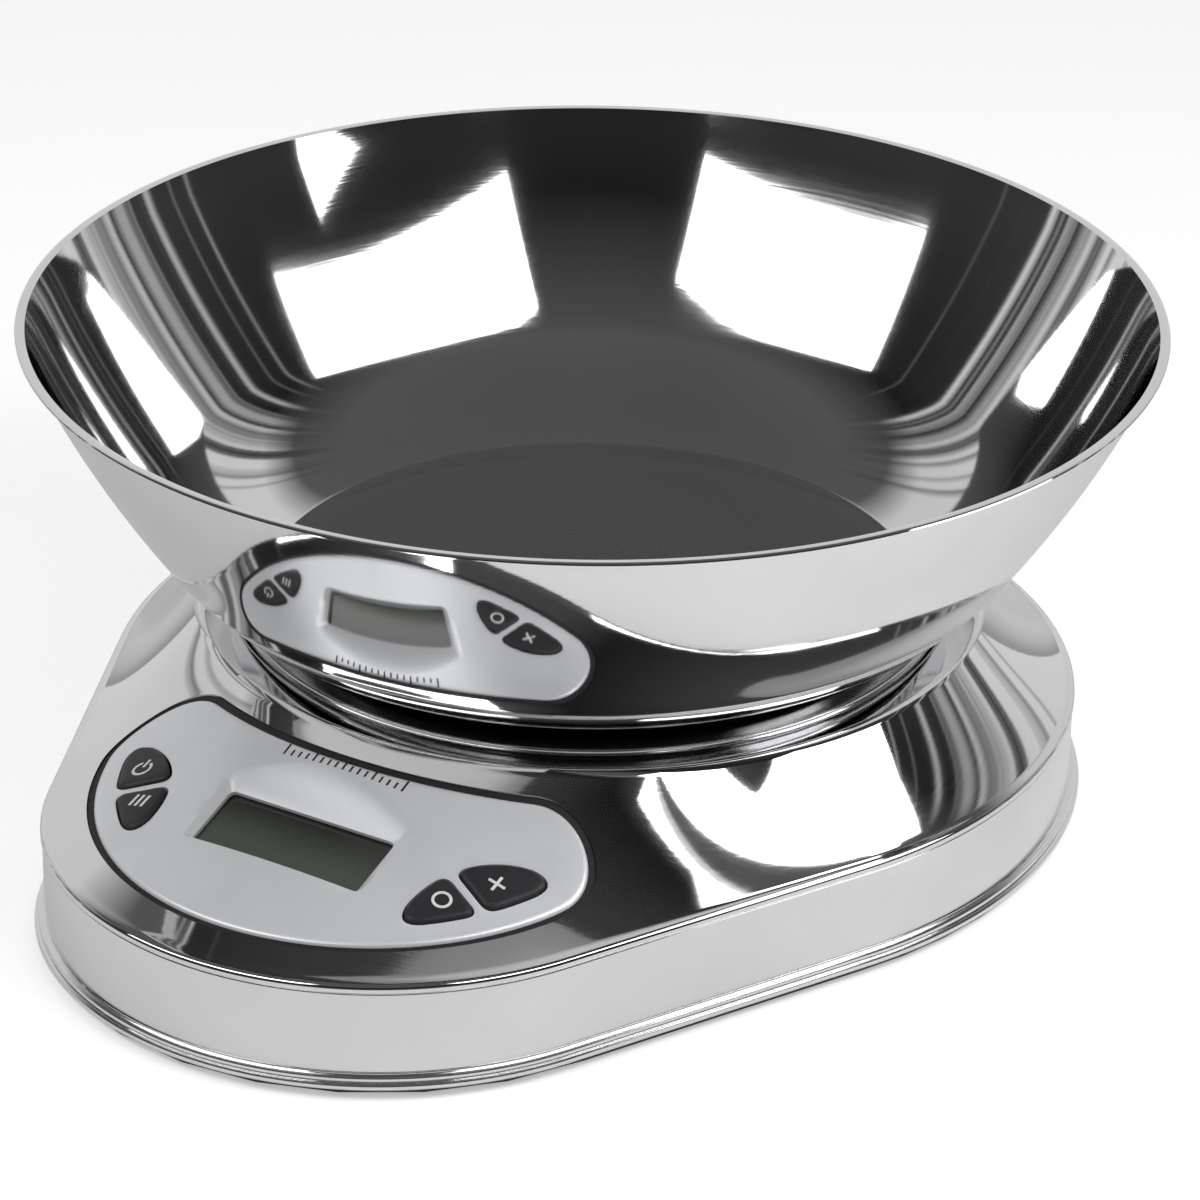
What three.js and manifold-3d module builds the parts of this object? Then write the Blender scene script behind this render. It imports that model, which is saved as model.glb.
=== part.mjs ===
// Digital kitchen scale with a lift-off steel bowl.
// Millimetres, +Z up. The origin is on the standing plane, below the middle of the scale's outline;
// the display faces -Y. Most pieces are modelled about the bowl's axis, in the group "core".
import * as THREE from "three";
import { mergeVertices } from "three/addons/utils/BufferGeometryUtils.js";
import Module from "manifold-3d";

const wasm = await Module();
wasm.setup();

// ---------------------------------------------------------------- driving dimensions

const fitGap = 0.3; // between pieces that touch or seat
const footProud = 1.2; // how far the rubber feet lift the base off the table

const bowlSize = {
  rimRadius: 120,
  baseRadius: 68.6, // flat foot, up to the crease
  height: 62.5,
  wall: 0.8,
  lipWidth: 1.6, // flat edge turned out past the wall
  wallSlope: 60, // degrees from level
  heelSlope: 20, // degrees from level, where the curve leaves the crease
};

const housing = {
  rearRadius: 103.4,
  frontRadius: 70,
  centreSpacing: 78.9, // from the rear arc's centre to the front arc's
  rearCentre: 1.5, // rear arc's centre behind the bowl's axis
  sheet: 0.7,
  beadOut: 2.2, // foot bead outside the wall
  beadHeight: 2.5,
  shoulderHeight: 24.9,
  shoulderRound: 1.2,
  shoulderDrop: 1.5, // where the shoulder's curve leaves the wall
  beadRound: 0.5,
  collarHeight: 44.5,
  collarRing: 6.8, // flat ring round the platform
  collarTurndown: 3.5,
  flare: 0.3, // 0 makes the slope straight, more makes it hollow
};

const platform = {
  margin: 7.5, // from the bowl's foot out to the platform's edge
  gap: 0.7, // running gap to the collar ring
  sheet: 0.8,
  seatRise: 0.7, // raised seat under the bowl
  seatMargin: 2, // how far the bowl's foot reaches past the seat
  skirt: 3,
  travel: 0.8,
};

const carrier = {
  skin: 2.4,
  rimDepth: 6,
  ribDepth: 5.4,
  ribThickness: 2,
  hubWidth: 30,
  hubMargin: 9, // hub past the screws, fore and aft
  headSeat: 8, // screw head's seat above the hub's underside
};

const fascia = {
  frontMargin: 10.7, // from the wall line in to the fascia's front edge
  rearMargin: 6.8, // from the collar out to the fascia's rear edge
  windowShift: 3.55, // display's middle behind the fascia's middle
  windowSink: 2, // display window below the slope
  cornerRadius: 12.5,
  proud: 0.4,
  thickness: 2.4,
  groove: 1.5, // from the fascia's edge to the cut in the steel
  sealLap: 1.5, // how far the seal reaches under the steel and under the fascia
};

const display = {
  windowWidth: 40,
  windowHeight: 15.2,
  ledge: 1.7, // how far the window reaches under the fascia on each side
  lensThickness: 1.2,
  cellThickness: 2.8,
  holderWall: 1.8,
  bevelRise: 2.3,
  bevelTop: 9.9,
  bevelSideTop: 6.5,
  bevelSideBottom: 2.6,
  bevelBottom: 0.6,
  wellSkirt: 1.5, // fascia left round the recess
};

const keySize = {
  margin: 4.8, // from the fascia's front edge to the keys
  innerRadius: 22,
  wellGap: 4.4, // from the display's recess out to the lower keys
  toAngle: -17,
  split: 2.4,
  splitSkew: 2.4,
  cornerRound: 2.2,
  tipRound: 5.5, // the leaf's two ends
  clearance: 0.4,
  proud: 1.3,
  flange: 0.9,
  flangeThickness: 1,
  travel: 0.8,
};

const board = {
  height: 30,
  thickness: 1.6,
  depth: 13, // from the window's face down to the board
  postRadius: 2.3,
  pilotRadius: 1.3,
  screwMargin: 2.4, // from the board's long edge to its screws
  chipSize: 13,
  chipHeight: 1.6,
  chipX: -4,
  chipU: -5, // chip's middle, up the board from its centre
  switchSize: 6,
  edgeMargin: 1, // from the switches to the board's ends
};

const loadCell = {
  length: 80,
  section: 12.7,
  screwInset: 6,
  screwPitch: 14,
  screwRadius: 2,
  bore: 4.2,
  boreSpacing: 11,
  spacerSize: 30,
  spacerThickness: 3,
};

const shellFrame = {
  gap: 0.6, // inside the steel
  wall: 2.4,
  drop: 4, // from the shoulder down to the frame's top
};

const base = {
  plate: 2.4,
  edge: 0.8,
  edgeInset: 1,
  screwRadius: 1.5,
  screwInset: 7, // from the wall line
  bossRadius: 4.4,
  bossRecess: 4, // how far the bosses stop below the frame's top
};

const battery = {
  length: 44.5,
  radius: 5.25,
  pitch: 12,
  boardGap: 1, // from the board's rear edge to the bay
  wall: 2.4,
  roof: 1.6,
  endRoom: 3.4,
  nubGap: 0.4,
  doorThickness: 1.8,
  doorGap: 0.4,
  tabHeight: 11,
  endRadius: 4.6, // flat end, inside the wrapped edge
  edgeRound: 0.6,
  nubRadius: 1.9,
  nubLength: 0.8,
};

const foot = { radius: 6.5, thickness: 2.1, inset: 15, edgeRound: 0.6 };

const cellScrew = { radius: loadCell.screwRadius, headRadius: 3.8 };
const boardScrew = { radius: 1, length: 5, headRadius: 2.2, headHeight: 1.2 };
const baseScrew = { radius: base.screwRadius, length: 9, headRadius: 2.8, headHeight: 1 };

// ---------------------------------------------------------------- heights and places

const rad = THREE.MathUtils.degToRad;
const frontCentre = housing.rearCentre - housing.centreSpacing;
const frontReach = -frontCentre + housing.frontRadius + housing.beadOut;
const rearReach = Math.max(
  bowlSize.rimRadius,
  housing.rearCentre + housing.rearRadius + housing.beadOut,
);
const axisY = (frontReach - rearReach) / 2; // bowl's axis in the part's frame

const plateBottom = footProud;
const plateTop = plateBottom + base.plate;
const beadBottom = plateBottom + base.edge + fitGap;
const beadTop = beadBottom + housing.beadHeight;
const platformRadius = bowlSize.baseRadius + platform.margin;
const collarInner = platformRadius + platform.gap;
const collarRadius = collarInner + housing.collarRing;
const platformTop = housing.collarHeight;
const seatTop = platformTop + platform.seatRise;
const bowlBottom = seatTop + fitGap;

const lowerSpacerZ = plateTop + fitGap;
const cellZ = lowerSpacerZ + loadCell.spacerThickness + fitGap;
const cellTop = cellZ + loadCell.section;
const upperSpacerZ = cellTop + platform.travel + fitGap;
const carrierZ = upperSpacerZ + loadCell.spacerThickness + fitGap;
const carrierTop = platformTop - platform.sheet - fitGap;
const cellScrewY = loadCell.length / 2 - loadCell.screwInset - loadCell.screwPitch / 2;

const ledgeThickness = 1; // of the fascia over the window's edges
const lensZ = -ledgeThickness - fitGap;
const cellFaceZ = lensZ - display.lensThickness - fitGap;
const boardTop = -board.depth;

const lcdMargin = display.ledge - 0.5;
const lcdWidth = display.windowWidth + 2 * lcdMargin;
const lcdHeight = display.windowHeight + 2 * lcdMargin;
const holderWidth = lcdWidth + 2 * (display.holderWall + fitGap);
const holderHeight = lcdHeight + 2 * (display.holderWall + fitGap);
const boardScrewX = holderWidth / 2 + board.postRadius + 1;
const boardScrewU = board.height / 2 - board.screwMargin;
const lowerRadius = housing.frontRadius - fascia.frontMargin; // about the front arc's centre
const upperRadius = collarRadius + fascia.rearMargin; // about the bowl's axis
const keyRadius = lowerRadius - keySize.margin;
const wellReach = display.windowWidth / 2 + display.bevelSideTop + display.wellSkirt;
const keyFrom = -Math.acos((wellReach + keySize.wellGap) / keyRadius);

// ---------------------------------------------------------------- solids

function toSolid(geometry) {
  const loose = geometry.index ? geometry.toNonIndexed() : geometry.clone();
  for (const name of Object.keys(loose.attributes)) {
    if (name !== "position") loose.deleteAttribute(name);
  }
  const merged = mergeVertices(loose, 1e-4);
  const corner = merged.index.array;
  const kept = [];
  for (let i = 0; i < corner.length; i += 3) {
    const [a, b, c] = [corner[i], corner[i + 1], corner[i + 2]];
    if (a !== b && b !== c && c !== a) kept.push(a, b, c);
  }
  return new wasm.Manifold(
    new wasm.Mesh({
      numProp: 3,
      vertProperties: merged.attributes.position.array,
      triVerts: new Uint32Array(kept),
    }),
  );
}

function toGeometry(solid) {
  const mesh = solid.getMesh();
  const geometry = new THREE.BufferGeometry();
  geometry.setAttribute("position", new THREE.BufferAttribute(mesh.vertProperties, 3));
  geometry.setIndex(new THREE.BufferAttribute(mesh.triVerts, 1));
  const flat = geometry.toNonIndexed();
  flat.computeVertexNormals();
  return flat;
}

function join(...solids) {
  return solids.reduce((whole, next) => whole.add(next));
}

function cut(solid, ...tools) {
  return tools.reduce((rest, tool) => rest.subtract(tool), solid);
}

function box(width, depth, height, x, y, z) {
  return toSolid(new THREE.BoxGeometry(width, depth, height).translate(x, y, z + height / 2));
}

function rod(radius, height, x, y, z, segments = 20) {
  const geometry = new THREE.CylinderGeometry(radius, radius, height, segments);
  return toSolid(geometry.rotateX(Math.PI / 2).translate(x, y, z + height / 2));
}

function turned(profile, segments) {
  const points = profile.map(([radius, height]) => new THREE.Vector2(radius, height));
  return toSolid(new THREE.LatheGeometry(points, segments).rotateX(Math.PI / 2));
}

function prism(points, z, height) {
  const geometry = new THREE.ExtrudeGeometry(new THREE.Shape(points), {
    depth: height,
    bevelEnabled: false,
    curveSegments: 1,
  });
  return toSolid(geometry.translate(0, 0, z));
}

function tube(points, radius, steps, sides = 8) {
  const section = new THREE.Shape(arc(0, 0, radius, 0, 2 * Math.PI, sides).slice(0, sides));
  const path = new THREE.CatmullRomCurve3(points.map((point) => new THREE.Vector3(...point)));
  const options = { steps, bevelEnabled: false, extrudePath: path };
  return toSolid(new THREE.ExtrudeGeometry(section, options));
}

function arc(x, y, radius, from, to, steps) {
  return Array.from({ length: steps + 1 }, (_, i) => {
    const angle = from + ((to - from) * i) / steps;
    return new THREE.Vector2(x + radius * Math.cos(angle), y + radius * Math.sin(angle));
  });
}

// ---------------------------------------------------------------- shape of the housing

// Distance from a point in to the wall line, which is two arcs and their tangents.
function insetFromWall(x, y) {
  const lean = (housing.rearRadius - housing.frontRadius) / housing.centreSpacing;
  const rise = Math.sqrt(1 - lean * lean);
  const across = Math.abs(x);
  const along = housing.rearCentre - y;
  const side = rise * along - lean * across;
  if (side < 0) return housing.rearRadius - Math.hypot(across, along);
  if (side > rise * housing.centreSpacing) {
    return housing.frontRadius - Math.hypot(across, along - housing.centreSpacing);
  }
  return housing.rearRadius - (across * rise + along * lean);
}

// 0 on the shoulder, 1 on the collar's edge.
function slopeLevel(x, y) {
  const toShoulder = Math.max(insetFromWall(x, y) - housing.shoulderRound, 0);
  const toCollar = Math.max(Math.hypot(x, y) - collarRadius, 0);
  return toShoulder + toCollar > 0 ? toShoulder / (toShoulder + toCollar) : 1;
}

function slopeHeight(x, y) {
  const level = slopeLevel(x, y);
  const blend = (1 - housing.flare) * level + housing.flare * level * level;
  return housing.shoulderHeight + (housing.collarHeight - housing.shoulderHeight) * blend;
}

// The point on a ray from the bowl's axis where a field that falls outwards reaches zero.
function reach(angle, field) {
  let near = 0;
  let far = 2 * (frontReach + housing.rearRadius);
  for (let i = 0; i < 40; i++) {
    const middle = (near + far) / 2;
    const inside = field(middle * Math.cos(angle), middle * Math.sin(angle)) > 0;
    if (inside) near = middle;
    else far = middle;
  }
  return new THREE.Vector2(near * Math.cos(angle), near * Math.sin(angle));
}

const ringSteps = 56;
const ringAngles = Array.from({ length: ringSteps }, (_, i) => (2 * Math.PI * i) / ringSteps);

function wallOutline(offset) {
  return ringAngles.map((angle) => reach(angle, (x, y) => insetFromWall(x, y) + offset));
}

function wallRing(offset, z) {
  return wallOutline(offset).map((point) => new THREE.Vector3(point.x, point.y, z));
}

function slopeRing(level, drop) {
  return ringAngles.map((angle) => {
    const point = reach(angle, (x, y) => slopeLevel(x, y) - level);
    return new THREE.Vector3(point.x, point.y, slopeHeight(point.x, point.y) - drop);
  });
}

function roundRing(radius, z) {
  return ringAngles.map(
    (angle) => new THREE.Vector3(radius * Math.cos(angle), radius * Math.sin(angle), z),
  );
}

// Joins closed rings, in order round the section, into one closed band.
function band(rings) {
  const positions = [];
  rings.forEach((ring, j) => {
    const next = rings[(j + 1) % rings.length];
    ring.forEach((point, i) => {
      const k = (i + 1) % ring.length;
      for (const corner of [point, ring[k], next[k], point, next[k], next[i]]) {
        positions.push(corner.x, corner.y, corner.z);
      }
    });
  });
  const geometry = new THREE.BufferGeometry();
  geometry.setAttribute("position", new THREE.Float32BufferAttribute(positions, 3));
  return toSolid(geometry);
}

// A layer that follows the slope, between two distances above it, over the fascia and its seal.
function slopeLayer(above, below) {
  const columns = 14;
  const rows = 8;
  const cover = new THREE.Box2().setFromPoints(crescent(fascia.groove + 2 * fascia.sealLap));
  const halfWidth = cover.max.x;
  const front = cover.min.y;
  const rear = cover.max.y;
  const at = (i, j, rise) => {
    const x = -halfWidth + (2 * halfWidth * i) / columns;
    const y = front + ((rear - front) * j) / rows;
    return [x, y, slopeHeight(x, y) + rise];
  };
  const positions = [];
  const quad = (a, b, c, d) => positions.push(...a, ...b, ...c, ...a, ...c, ...d);
  for (let i = 0; i < columns; i++) {
    for (let j = 0; j < rows; j++) {
      quad(at(i, j, above), at(i + 1, j, above), at(i + 1, j + 1, above), at(i, j + 1, above));
      quad(at(i, j, below), at(i, j + 1, below), at(i + 1, j + 1, below), at(i + 1, j, below));
    }
    quad(at(i, 0, below), at(i + 1, 0, below), at(i + 1, 0, above), at(i, 0, above));
    quad(at(i + 1, rows, below), at(i, rows, below), at(i, rows, above), at(i + 1, rows, above));
  }
  for (let j = 0; j < rows; j++) {
    quad(at(0, j + 1, below), at(0, j, below), at(0, j, above), at(0, j + 1, above));
    quad(
      at(columns, j, below),
      at(columns, j + 1, below),
      at(columns, j + 1, above),
      at(columns, j, above),
    );
  }
  const geometry = new THREE.BufferGeometry();
  geometry.setAttribute("position", new THREE.Float32BufferAttribute(positions, 3));
  return toSolid(geometry);
}

// ---------------------------------------------------------------- fascia outlines

// The fascia's crescent: an arc about the front centre, one about the bowl's axis, round ends.
function crescent(offset) {
  const toLower = lowerRadius - fascia.cornerRadius;
  const toUpper = upperRadius + fascia.cornerRadius;
  const y = (toUpper ** 2 - toLower ** 2 + frontCentre ** 2) / (2 * frontCentre);
  const x = Math.sqrt(toUpper ** 2 - y ** 2);
  const lowerEnd = Math.atan2(y - frontCentre, x);
  const upperEnd = Math.atan2(-y, -x);
  const corner = fascia.cornerRadius + offset;
  return [
    ...arc(0, frontCentre, lowerRadius + offset, -Math.PI - lowerEnd, lowerEnd, 12),
    ...arc(x, y, corner, lowerEnd, upperEnd, 6).slice(1),
    ...arc(0, 0, upperRadius - offset, upperEnd - Math.PI, -upperEnd, 8).slice(1),
    ...arc(-x, y, corner, Math.PI - upperEnd, Math.PI - lowerEnd, 6).slice(1, -1),
  ];
}

// The window's middle, and the slope's own tilt there.
const windowY = (frontCentre - lowerRadius - upperRadius) / 2 + fascia.windowShift;
const windowZ = slopeHeight(0, windowY) - fascia.windowSink;
const tilt = Math.atan2(slopeHeight(0, windowY + 1) - slopeHeight(0, windowY - 1), 2);
const fasciaFrame = new THREE.Matrix4()
  .makeTranslation(0, windowY, windowZ)
  .multiply(new THREE.Matrix4().makeRotationX(tilt));

// A point on the slope, in the window's own plane: across, and up the tilt.
function onFascia(point) {
  const rise = slopeHeight(point.x, point.y) - windowZ;
  const run = point.y - windowY;
  return new THREE.Vector2(point.x, run * Math.cos(tilt) + rise * Math.sin(tilt));
}

function placed(solid) {
  return toSolid(toGeometry(solid).applyMatrix4(fasciaFrame));
}

// A closed loop of sides, each a list of points. rounds[i] rounds the corner after side i.
function roundedLoop(sides, rounds) {
  const trimmed = sides.map((side, k) => {
    const curve = new THREE.CurvePath();
    for (let i = 1; i < side.length; i++) curve.add(new THREE.LineCurve(side[i - 1], side[i]));
    const share = (round) => Math.min(round / curve.getLength(), 0.45);
    const start = share(rounds.at(k - 1));
    const end = 1 - share(rounds[k]);
    const steps = 3;
    return Array.from({ length: steps + 1 }, (_, i) =>
      curve.getPointAt(start + ((end - start) * i) / steps),
    );
  });
  return trimmed.flatMap((side, i) => {
    const next = trimmed[(i + 1) % trimmed.length];
    const bend = new THREE.QuadraticBezierCurve(side.at(-1), sides[i].at(-1), next[0]);
    return [...side, ...bend.getPoints(4).slice(1, -1)];
  });
}

function grown(loop, distance) {
  return loop.map((point, i) => {
    const before = loop[(i + loop.length - 1) % loop.length];
    const after = loop[(i + 1) % loop.length];
    const along = after.clone().sub(before).normalize();
    return point.clone().add(new THREE.Vector2(along.y, -along.x).multiplyScalar(distance));
  });
}

// The two keys on the right: one leaf between two arcs, split across its middle.
function keyLoops() {
  const from = keyFrom;
  const to = rad(keySize.toAngle);
  const middle = (from + to) / 2;
  const halfChord = keyRadius * Math.sin((to - from) / 2);
  const inward =
    keyRadius * Math.cos((to - from) / 2) +
    Math.sqrt(keySize.innerRadius ** 2 - halfChord ** 2);
  const hub = new THREE.Vector2(inward * Math.cos(middle), frontCentre + inward * Math.sin(middle));
  const swing = Math.asin(halfChord / keySize.innerRadius);
  const skew = keySize.splitSkew / keySize.innerRadius;
  const outerGap = keySize.split / 2 / keyRadius;
  const innerGap = keySize.split / 2 / keySize.innerRadius;
  const outer = (a, b) => arc(0, frontCentre, keyRadius, a, b, 6);
  const inner = (a, b) =>
    arc(hub.x, hub.y, keySize.innerRadius, middle + Math.PI + a, middle + Math.PI + b, 6);
  const upperOuter = outer(middle + outerGap, to);
  const upperInner = inner(-swing, skew - innerGap);
  const lowerOuter = outer(from, middle - outerGap);
  const lowerInner = inner(skew + innerGap, swing);
  const { cornerRound, tipRound } = keySize;
  return {
    upper: roundedLoop(
      [upperOuter, upperInner, [upperInner.at(-1), upperOuter[0]]],
      [tipRound, cornerRound, cornerRound],
    ),
    lower: roundedLoop(
      [lowerOuter, [lowerOuter.at(-1), lowerInner[0]], lowerInner],
      [cornerRound, cornerRound, tipRound],
    ),
  };
}

function mirrored(loop) {
  return loop.map((point) => new THREE.Vector2(-point.x, point.y)).reverse();
}

const rightKeys = keyLoops();
const keyOutlines = {
  key_left_upper: mirrored(rightKeys.upper),
  key_left_lower: mirrored(rightKeys.lower),
  key_right_lower: rightKeys.lower,
  key_right_upper: rightKeys.upper,
};

function keyCentre(loop) {
  const sum = loop.reduce((total, point) => total.add(onFascia(point)), new THREE.Vector2());
  return sum.divideScalar(loop.length);
}

const keyReach = Math.abs(keyCentre(rightKeys.upper).x);
const boardWidth = 2 * (keyReach + board.switchSize / 2 + board.edgeMargin);

// A prism square to the window's plane whose walls cross the slope along a loop.
function fasciaPrism(loop, low = -12, high = 8) {
  return placed(prism(loop.map(onFascia), low, high - low));
}

// ---------------------------------------------------------------- bowl and platform

// The bowl's outer section: crease, heel arc, straight wall.
function bowlSection() {
  const wallAngle = rad(bowlSize.wallSlope);
  const heelAngle = rad(bowlSize.heelSlope);
  const top = bowlSize.height - bowlSize.wall;
  const out = bowlSize.rimRadius - bowlSize.lipWidth - bowlSize.baseRadius;
  const heelRadius =
    (top * Math.cos(wallAngle) - out * Math.sin(wallAngle)) /
    ((Math.cos(heelAngle) - Math.cos(wallAngle)) * Math.cos(wallAngle) -
      (Math.sin(wallAngle) - Math.sin(heelAngle)) * Math.sin(wallAngle));
  const steps = 6;
  const heel = Array.from({ length: steps + 1 }, (_, i) => {
    const slope = heelAngle + ((wallAngle - heelAngle) * i) / steps;
    return {
      radius: bowlSize.baseRadius + heelRadius * (Math.sin(slope) - Math.sin(heelAngle)),
      height: heelRadius * (Math.cos(heelAngle) - Math.cos(slope)),
      slope,
    };
  });
  heel.push({ radius: bowlSize.rimRadius - bowlSize.lipWidth, height: top, slope: wallAngle });
  return heel;
}

function makeBowl() {
  const section = bowlSection();
  const outside = section.map(({ radius, height }) => [radius, bowlBottom + height]);
  const inside = section
    .map(({ radius, height, slope }) => [
      radius - bowlSize.wall * Math.sin(slope),
      bowlBottom + height + bowlSize.wall * Math.cos(slope),
    ])
    .reverse();
  const rimTop = bowlBottom + bowlSize.height;
  inside[0] = [bowlSize.rimRadius - bowlSize.lipWidth - 1.2 * bowlSize.wall, rimTop];
  return turned(
    [
      [0, bowlBottom],
      ...outside,
      [bowlSize.rimRadius, rimTop - bowlSize.wall],
      [bowlSize.rimRadius, rimTop],
      ...inside,
      [0, bowlBottom + bowlSize.wall],
    ],
    48,
  );
}

function makePlatformDish() {
  const seatRadius = bowlSize.baseRadius - platform.seatMargin;
  const under = platformTop - platform.sheet;
  return turned(
    [
      [0, seatTop - platform.sheet],
      [seatRadius - 1, seatTop - platform.sheet],
      [seatRadius, under],
      [platformRadius - 1.8, under],
      [platformRadius - platform.sheet, under - 1],
      [platformRadius - platform.sheet, under - platform.skirt],
      [platformRadius, under - platform.skirt],
      [platformRadius, under - 0.4],
      [platformRadius - 1.2, platformTop],
      [seatRadius + 1, platformTop],
      [seatRadius, seatTop],
      [0, seatTop],
    ],
    40,
  );
}

function makePlatformCarrier() {
  const discRadius = platformRadius - platform.sheet - 1.6;
  const rimInner = discRadius - 2;
  const disc = turned(
    [
      [0, carrierTop - carrier.skin],
      [rimInner, carrierTop - carrier.skin],
      [rimInner, carrierTop - carrier.rimDepth],
      [discRadius, carrierTop - carrier.rimDepth],
      [discRadius, carrierTop],
      [0, carrierTop],
    ],
    36,
  );
  const hubLength = loadCell.screwPitch + 2 * carrier.hubMargin;
  const hub = box(carrier.hubWidth, hubLength, carrierTop - 1 - carrierZ, 0, cellScrewY, carrierZ);
  const ribs = [0, 60, 120].map((turn) => {
    const rib = new THREE.BoxGeometry(2 * discRadius - 3, carrier.ribThickness, carrier.ribDepth);
    const ribMiddle = carrierTop - 1.5 - carrier.ribDepth / 2;
    return toSolid(rib.translate(0, 0, ribMiddle).rotateZ(rad(turn)));
  });
  const holes = [-1, 1].flatMap((side) => {
    const y = cellScrewY + (side * loadCell.screwPitch) / 2;
    return [
      rod(loadCell.screwRadius + fitGap, housing.collarHeight, 0, y, carrierZ - 1),
      rod(cellScrew.headRadius + 2 * fitGap, housing.collarHeight, 0, y, carrierZ + carrier.headSeat),
    ];
  });
  return cut(join(disc, hub, ...ribs), ...holes);
}

// A pan-head screw with its head below, or above when "up" is -1.
function makeScrew({ radius, length, headRadius, headHeight }, up = 1) {
  const profile = [
    [0, 0],
    [headRadius, 0.3],
    [headRadius, headHeight],
    [radius, headHeight],
    [radius, headHeight + length - 1],
    [0.35 * radius, headHeight + length],
    [0, headHeight + length],
  ];
  const screw = turned(profile, 12);
  return up > 0 ? screw : toSolid(toGeometry(screw).rotateX(Math.PI));
}

// ---------------------------------------------------------------- load cell

function makeLoadCell() {
  const bar = box(loadCell.section, loadCell.length, loadCell.section, 0, 0, cellZ);
  const middle = cellZ + loadCell.section / 2;
  const bores = [-1, 1].map((side) => {
    const width = loadCell.section + 2;
    const bore = new THREE.CylinderGeometry(loadCell.bore, loadCell.bore, width, 20);
    const y = (side * loadCell.boreSpacing) / 2;
    return toSolid(bore.rotateZ(Math.PI / 2).translate(0, y, middle));
  });
  const slot = box(loadCell.section + 2, loadCell.boreSpacing, 3, 0, 0, middle - 1.5);
  const holes = cellScrewPlaces().map((y) =>
    rod(loadCell.screwRadius + fitGap, loadCell.section + 4, 0, y, cellZ - 2, 16),
  );
  return cut(bar, ...bores, slot, ...holes);
}

function cellScrewPlaces() {
  return [-1, 1].flatMap((end) =>
    [-1, 1].map((side) => end * cellScrewY + (side * loadCell.screwPitch) / 2),
  );
}

function makeSpacer(y, z) {
  const plate = box(
    loadCell.section + 8,
    loadCell.spacerSize,
    loadCell.spacerThickness,
    0,
    y,
    z,
  );
  const holes = [-1, 1].map((side) =>
    rod(loadCell.screwRadius + fitGap, 10, 0, y + (side * loadCell.screwPitch) / 2, z - 2, 16),
  );
  return cut(plate, ...holes);
}

function makeGaugeCoating() {
  return box(loadCell.section - 3, 2 * loadCell.boreSpacing, 0.5, 0, 0, cellTop + fitGap);
}

// Runs beside the load cell, over the battery bay, to the board's rear edge.
function makeLoadCellLead() {
  const radius = 1.3;
  const x = loadCell.section / 2 + fitGap + radius + 0.1;
  const z = cellZ + loadCell.section / 2;
  const overBay = bayRoofTop + radius + 2;
  const end = new THREE.Vector3(x + 2, board.height / 2 + radius + 2 * fitGap, boardTop);
  end.applyMatrix4(fasciaFrame);
  return tube(
    [
      [x, -14, z + 2],
      [x, -32, z + 1],
      [x + 3, bayRear + 14, (z + overBay) / 2],
      [x + 3, bayRear + 4, overBay],
      [x + 3, bayCentreY, overBay + 0.6],
      [end.x, end.y, Math.max(end.z, overBay)],
    ],
    radius,
    18,
  );
}

// ---------------------------------------------------------------- housing

function makeBodyShell() {
  const sheet = housing.sheet;
  const levels = [0, 0.25, 0.5, 0.75, 0.94];
  const innerLevels = [0.94, 0.5, 0];
  const outside = [
    wallRing(0.4 - sheet, beadBottom),
    wallRing(housing.beadOut - housing.beadRound, beadBottom),
    wallRing(housing.beadOut, beadBottom + housing.beadRound),
    wallRing(housing.beadOut, beadTop - 0.8),
    wallRing(housing.beadOut - 0.7, beadTop - 0.1),
    wallRing(0.2, beadTop),
    wallRing(0, housing.shoulderHeight - housing.shoulderDrop),
    wallRing(-0.3 * housing.shoulderRound, housing.shoulderHeight - 0.3 * housing.shoulderDrop),
    ...levels.map((level) => slopeRing(level, 0)),
    roundRing(collarRadius, housing.collarHeight),
    roundRing(collarInner, housing.collarHeight),
    roundRing(collarInner, housing.collarHeight - housing.collarTurndown),
  ];
  const inside = [
    roundRing(collarInner + sheet, housing.collarHeight - housing.collarTurndown),
    roundRing(collarInner + sheet, housing.collarHeight - sheet),
    roundRing(collarRadius - 0.3, housing.collarHeight - sheet),
    ...innerLevels.map((level) => slopeRing(level, 1.15 * sheet)),
    wallRing(-sheet, housing.shoulderHeight - 2.2),
    wallRing(0.2 - sheet, beadTop),
  ];
  const opening = prism(crescent(fascia.groove), beadTop, housing.collarHeight);
  return cut(band([...outside, ...inside]), opening);
}

const baseScrewPlaces = [-99, -81, -12, 50, 130, 192].map((degrees) =>
  reach(rad(degrees), (x, y) => insetFromWall(x, y) - base.screwInset),
);

function makeShellFrame() {
  const low = plateTop + fitGap;
  const high = housing.shoulderHeight - shellFrame.drop;
  const outer = wallRing(-housing.sheet - shellFrame.gap, 0);
  const inner = wallRing(-housing.sheet - shellFrame.gap - shellFrame.wall, 0);
  const at = (ring, z) => ring.map((point) => point.clone().setZ(z));
  const wall = band([at(outer, low), at(outer, high), at(inner, high), at(inner, low)]);
  const bosses = baseScrewPlaces.map((point) =>
    rod(base.bossRadius, high - base.bossRecess - low, point.x, point.y, low, 14),
  );
  const holes = baseScrewPlaces.map((point) =>
    rod(base.screwRadius + fitGap, 12, point.x, point.y, low - 2, 12),
  );
  return cut(join(wall, ...bosses), ...holes);
}

// ---------------------------------------------------------------- fascia and display

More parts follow.
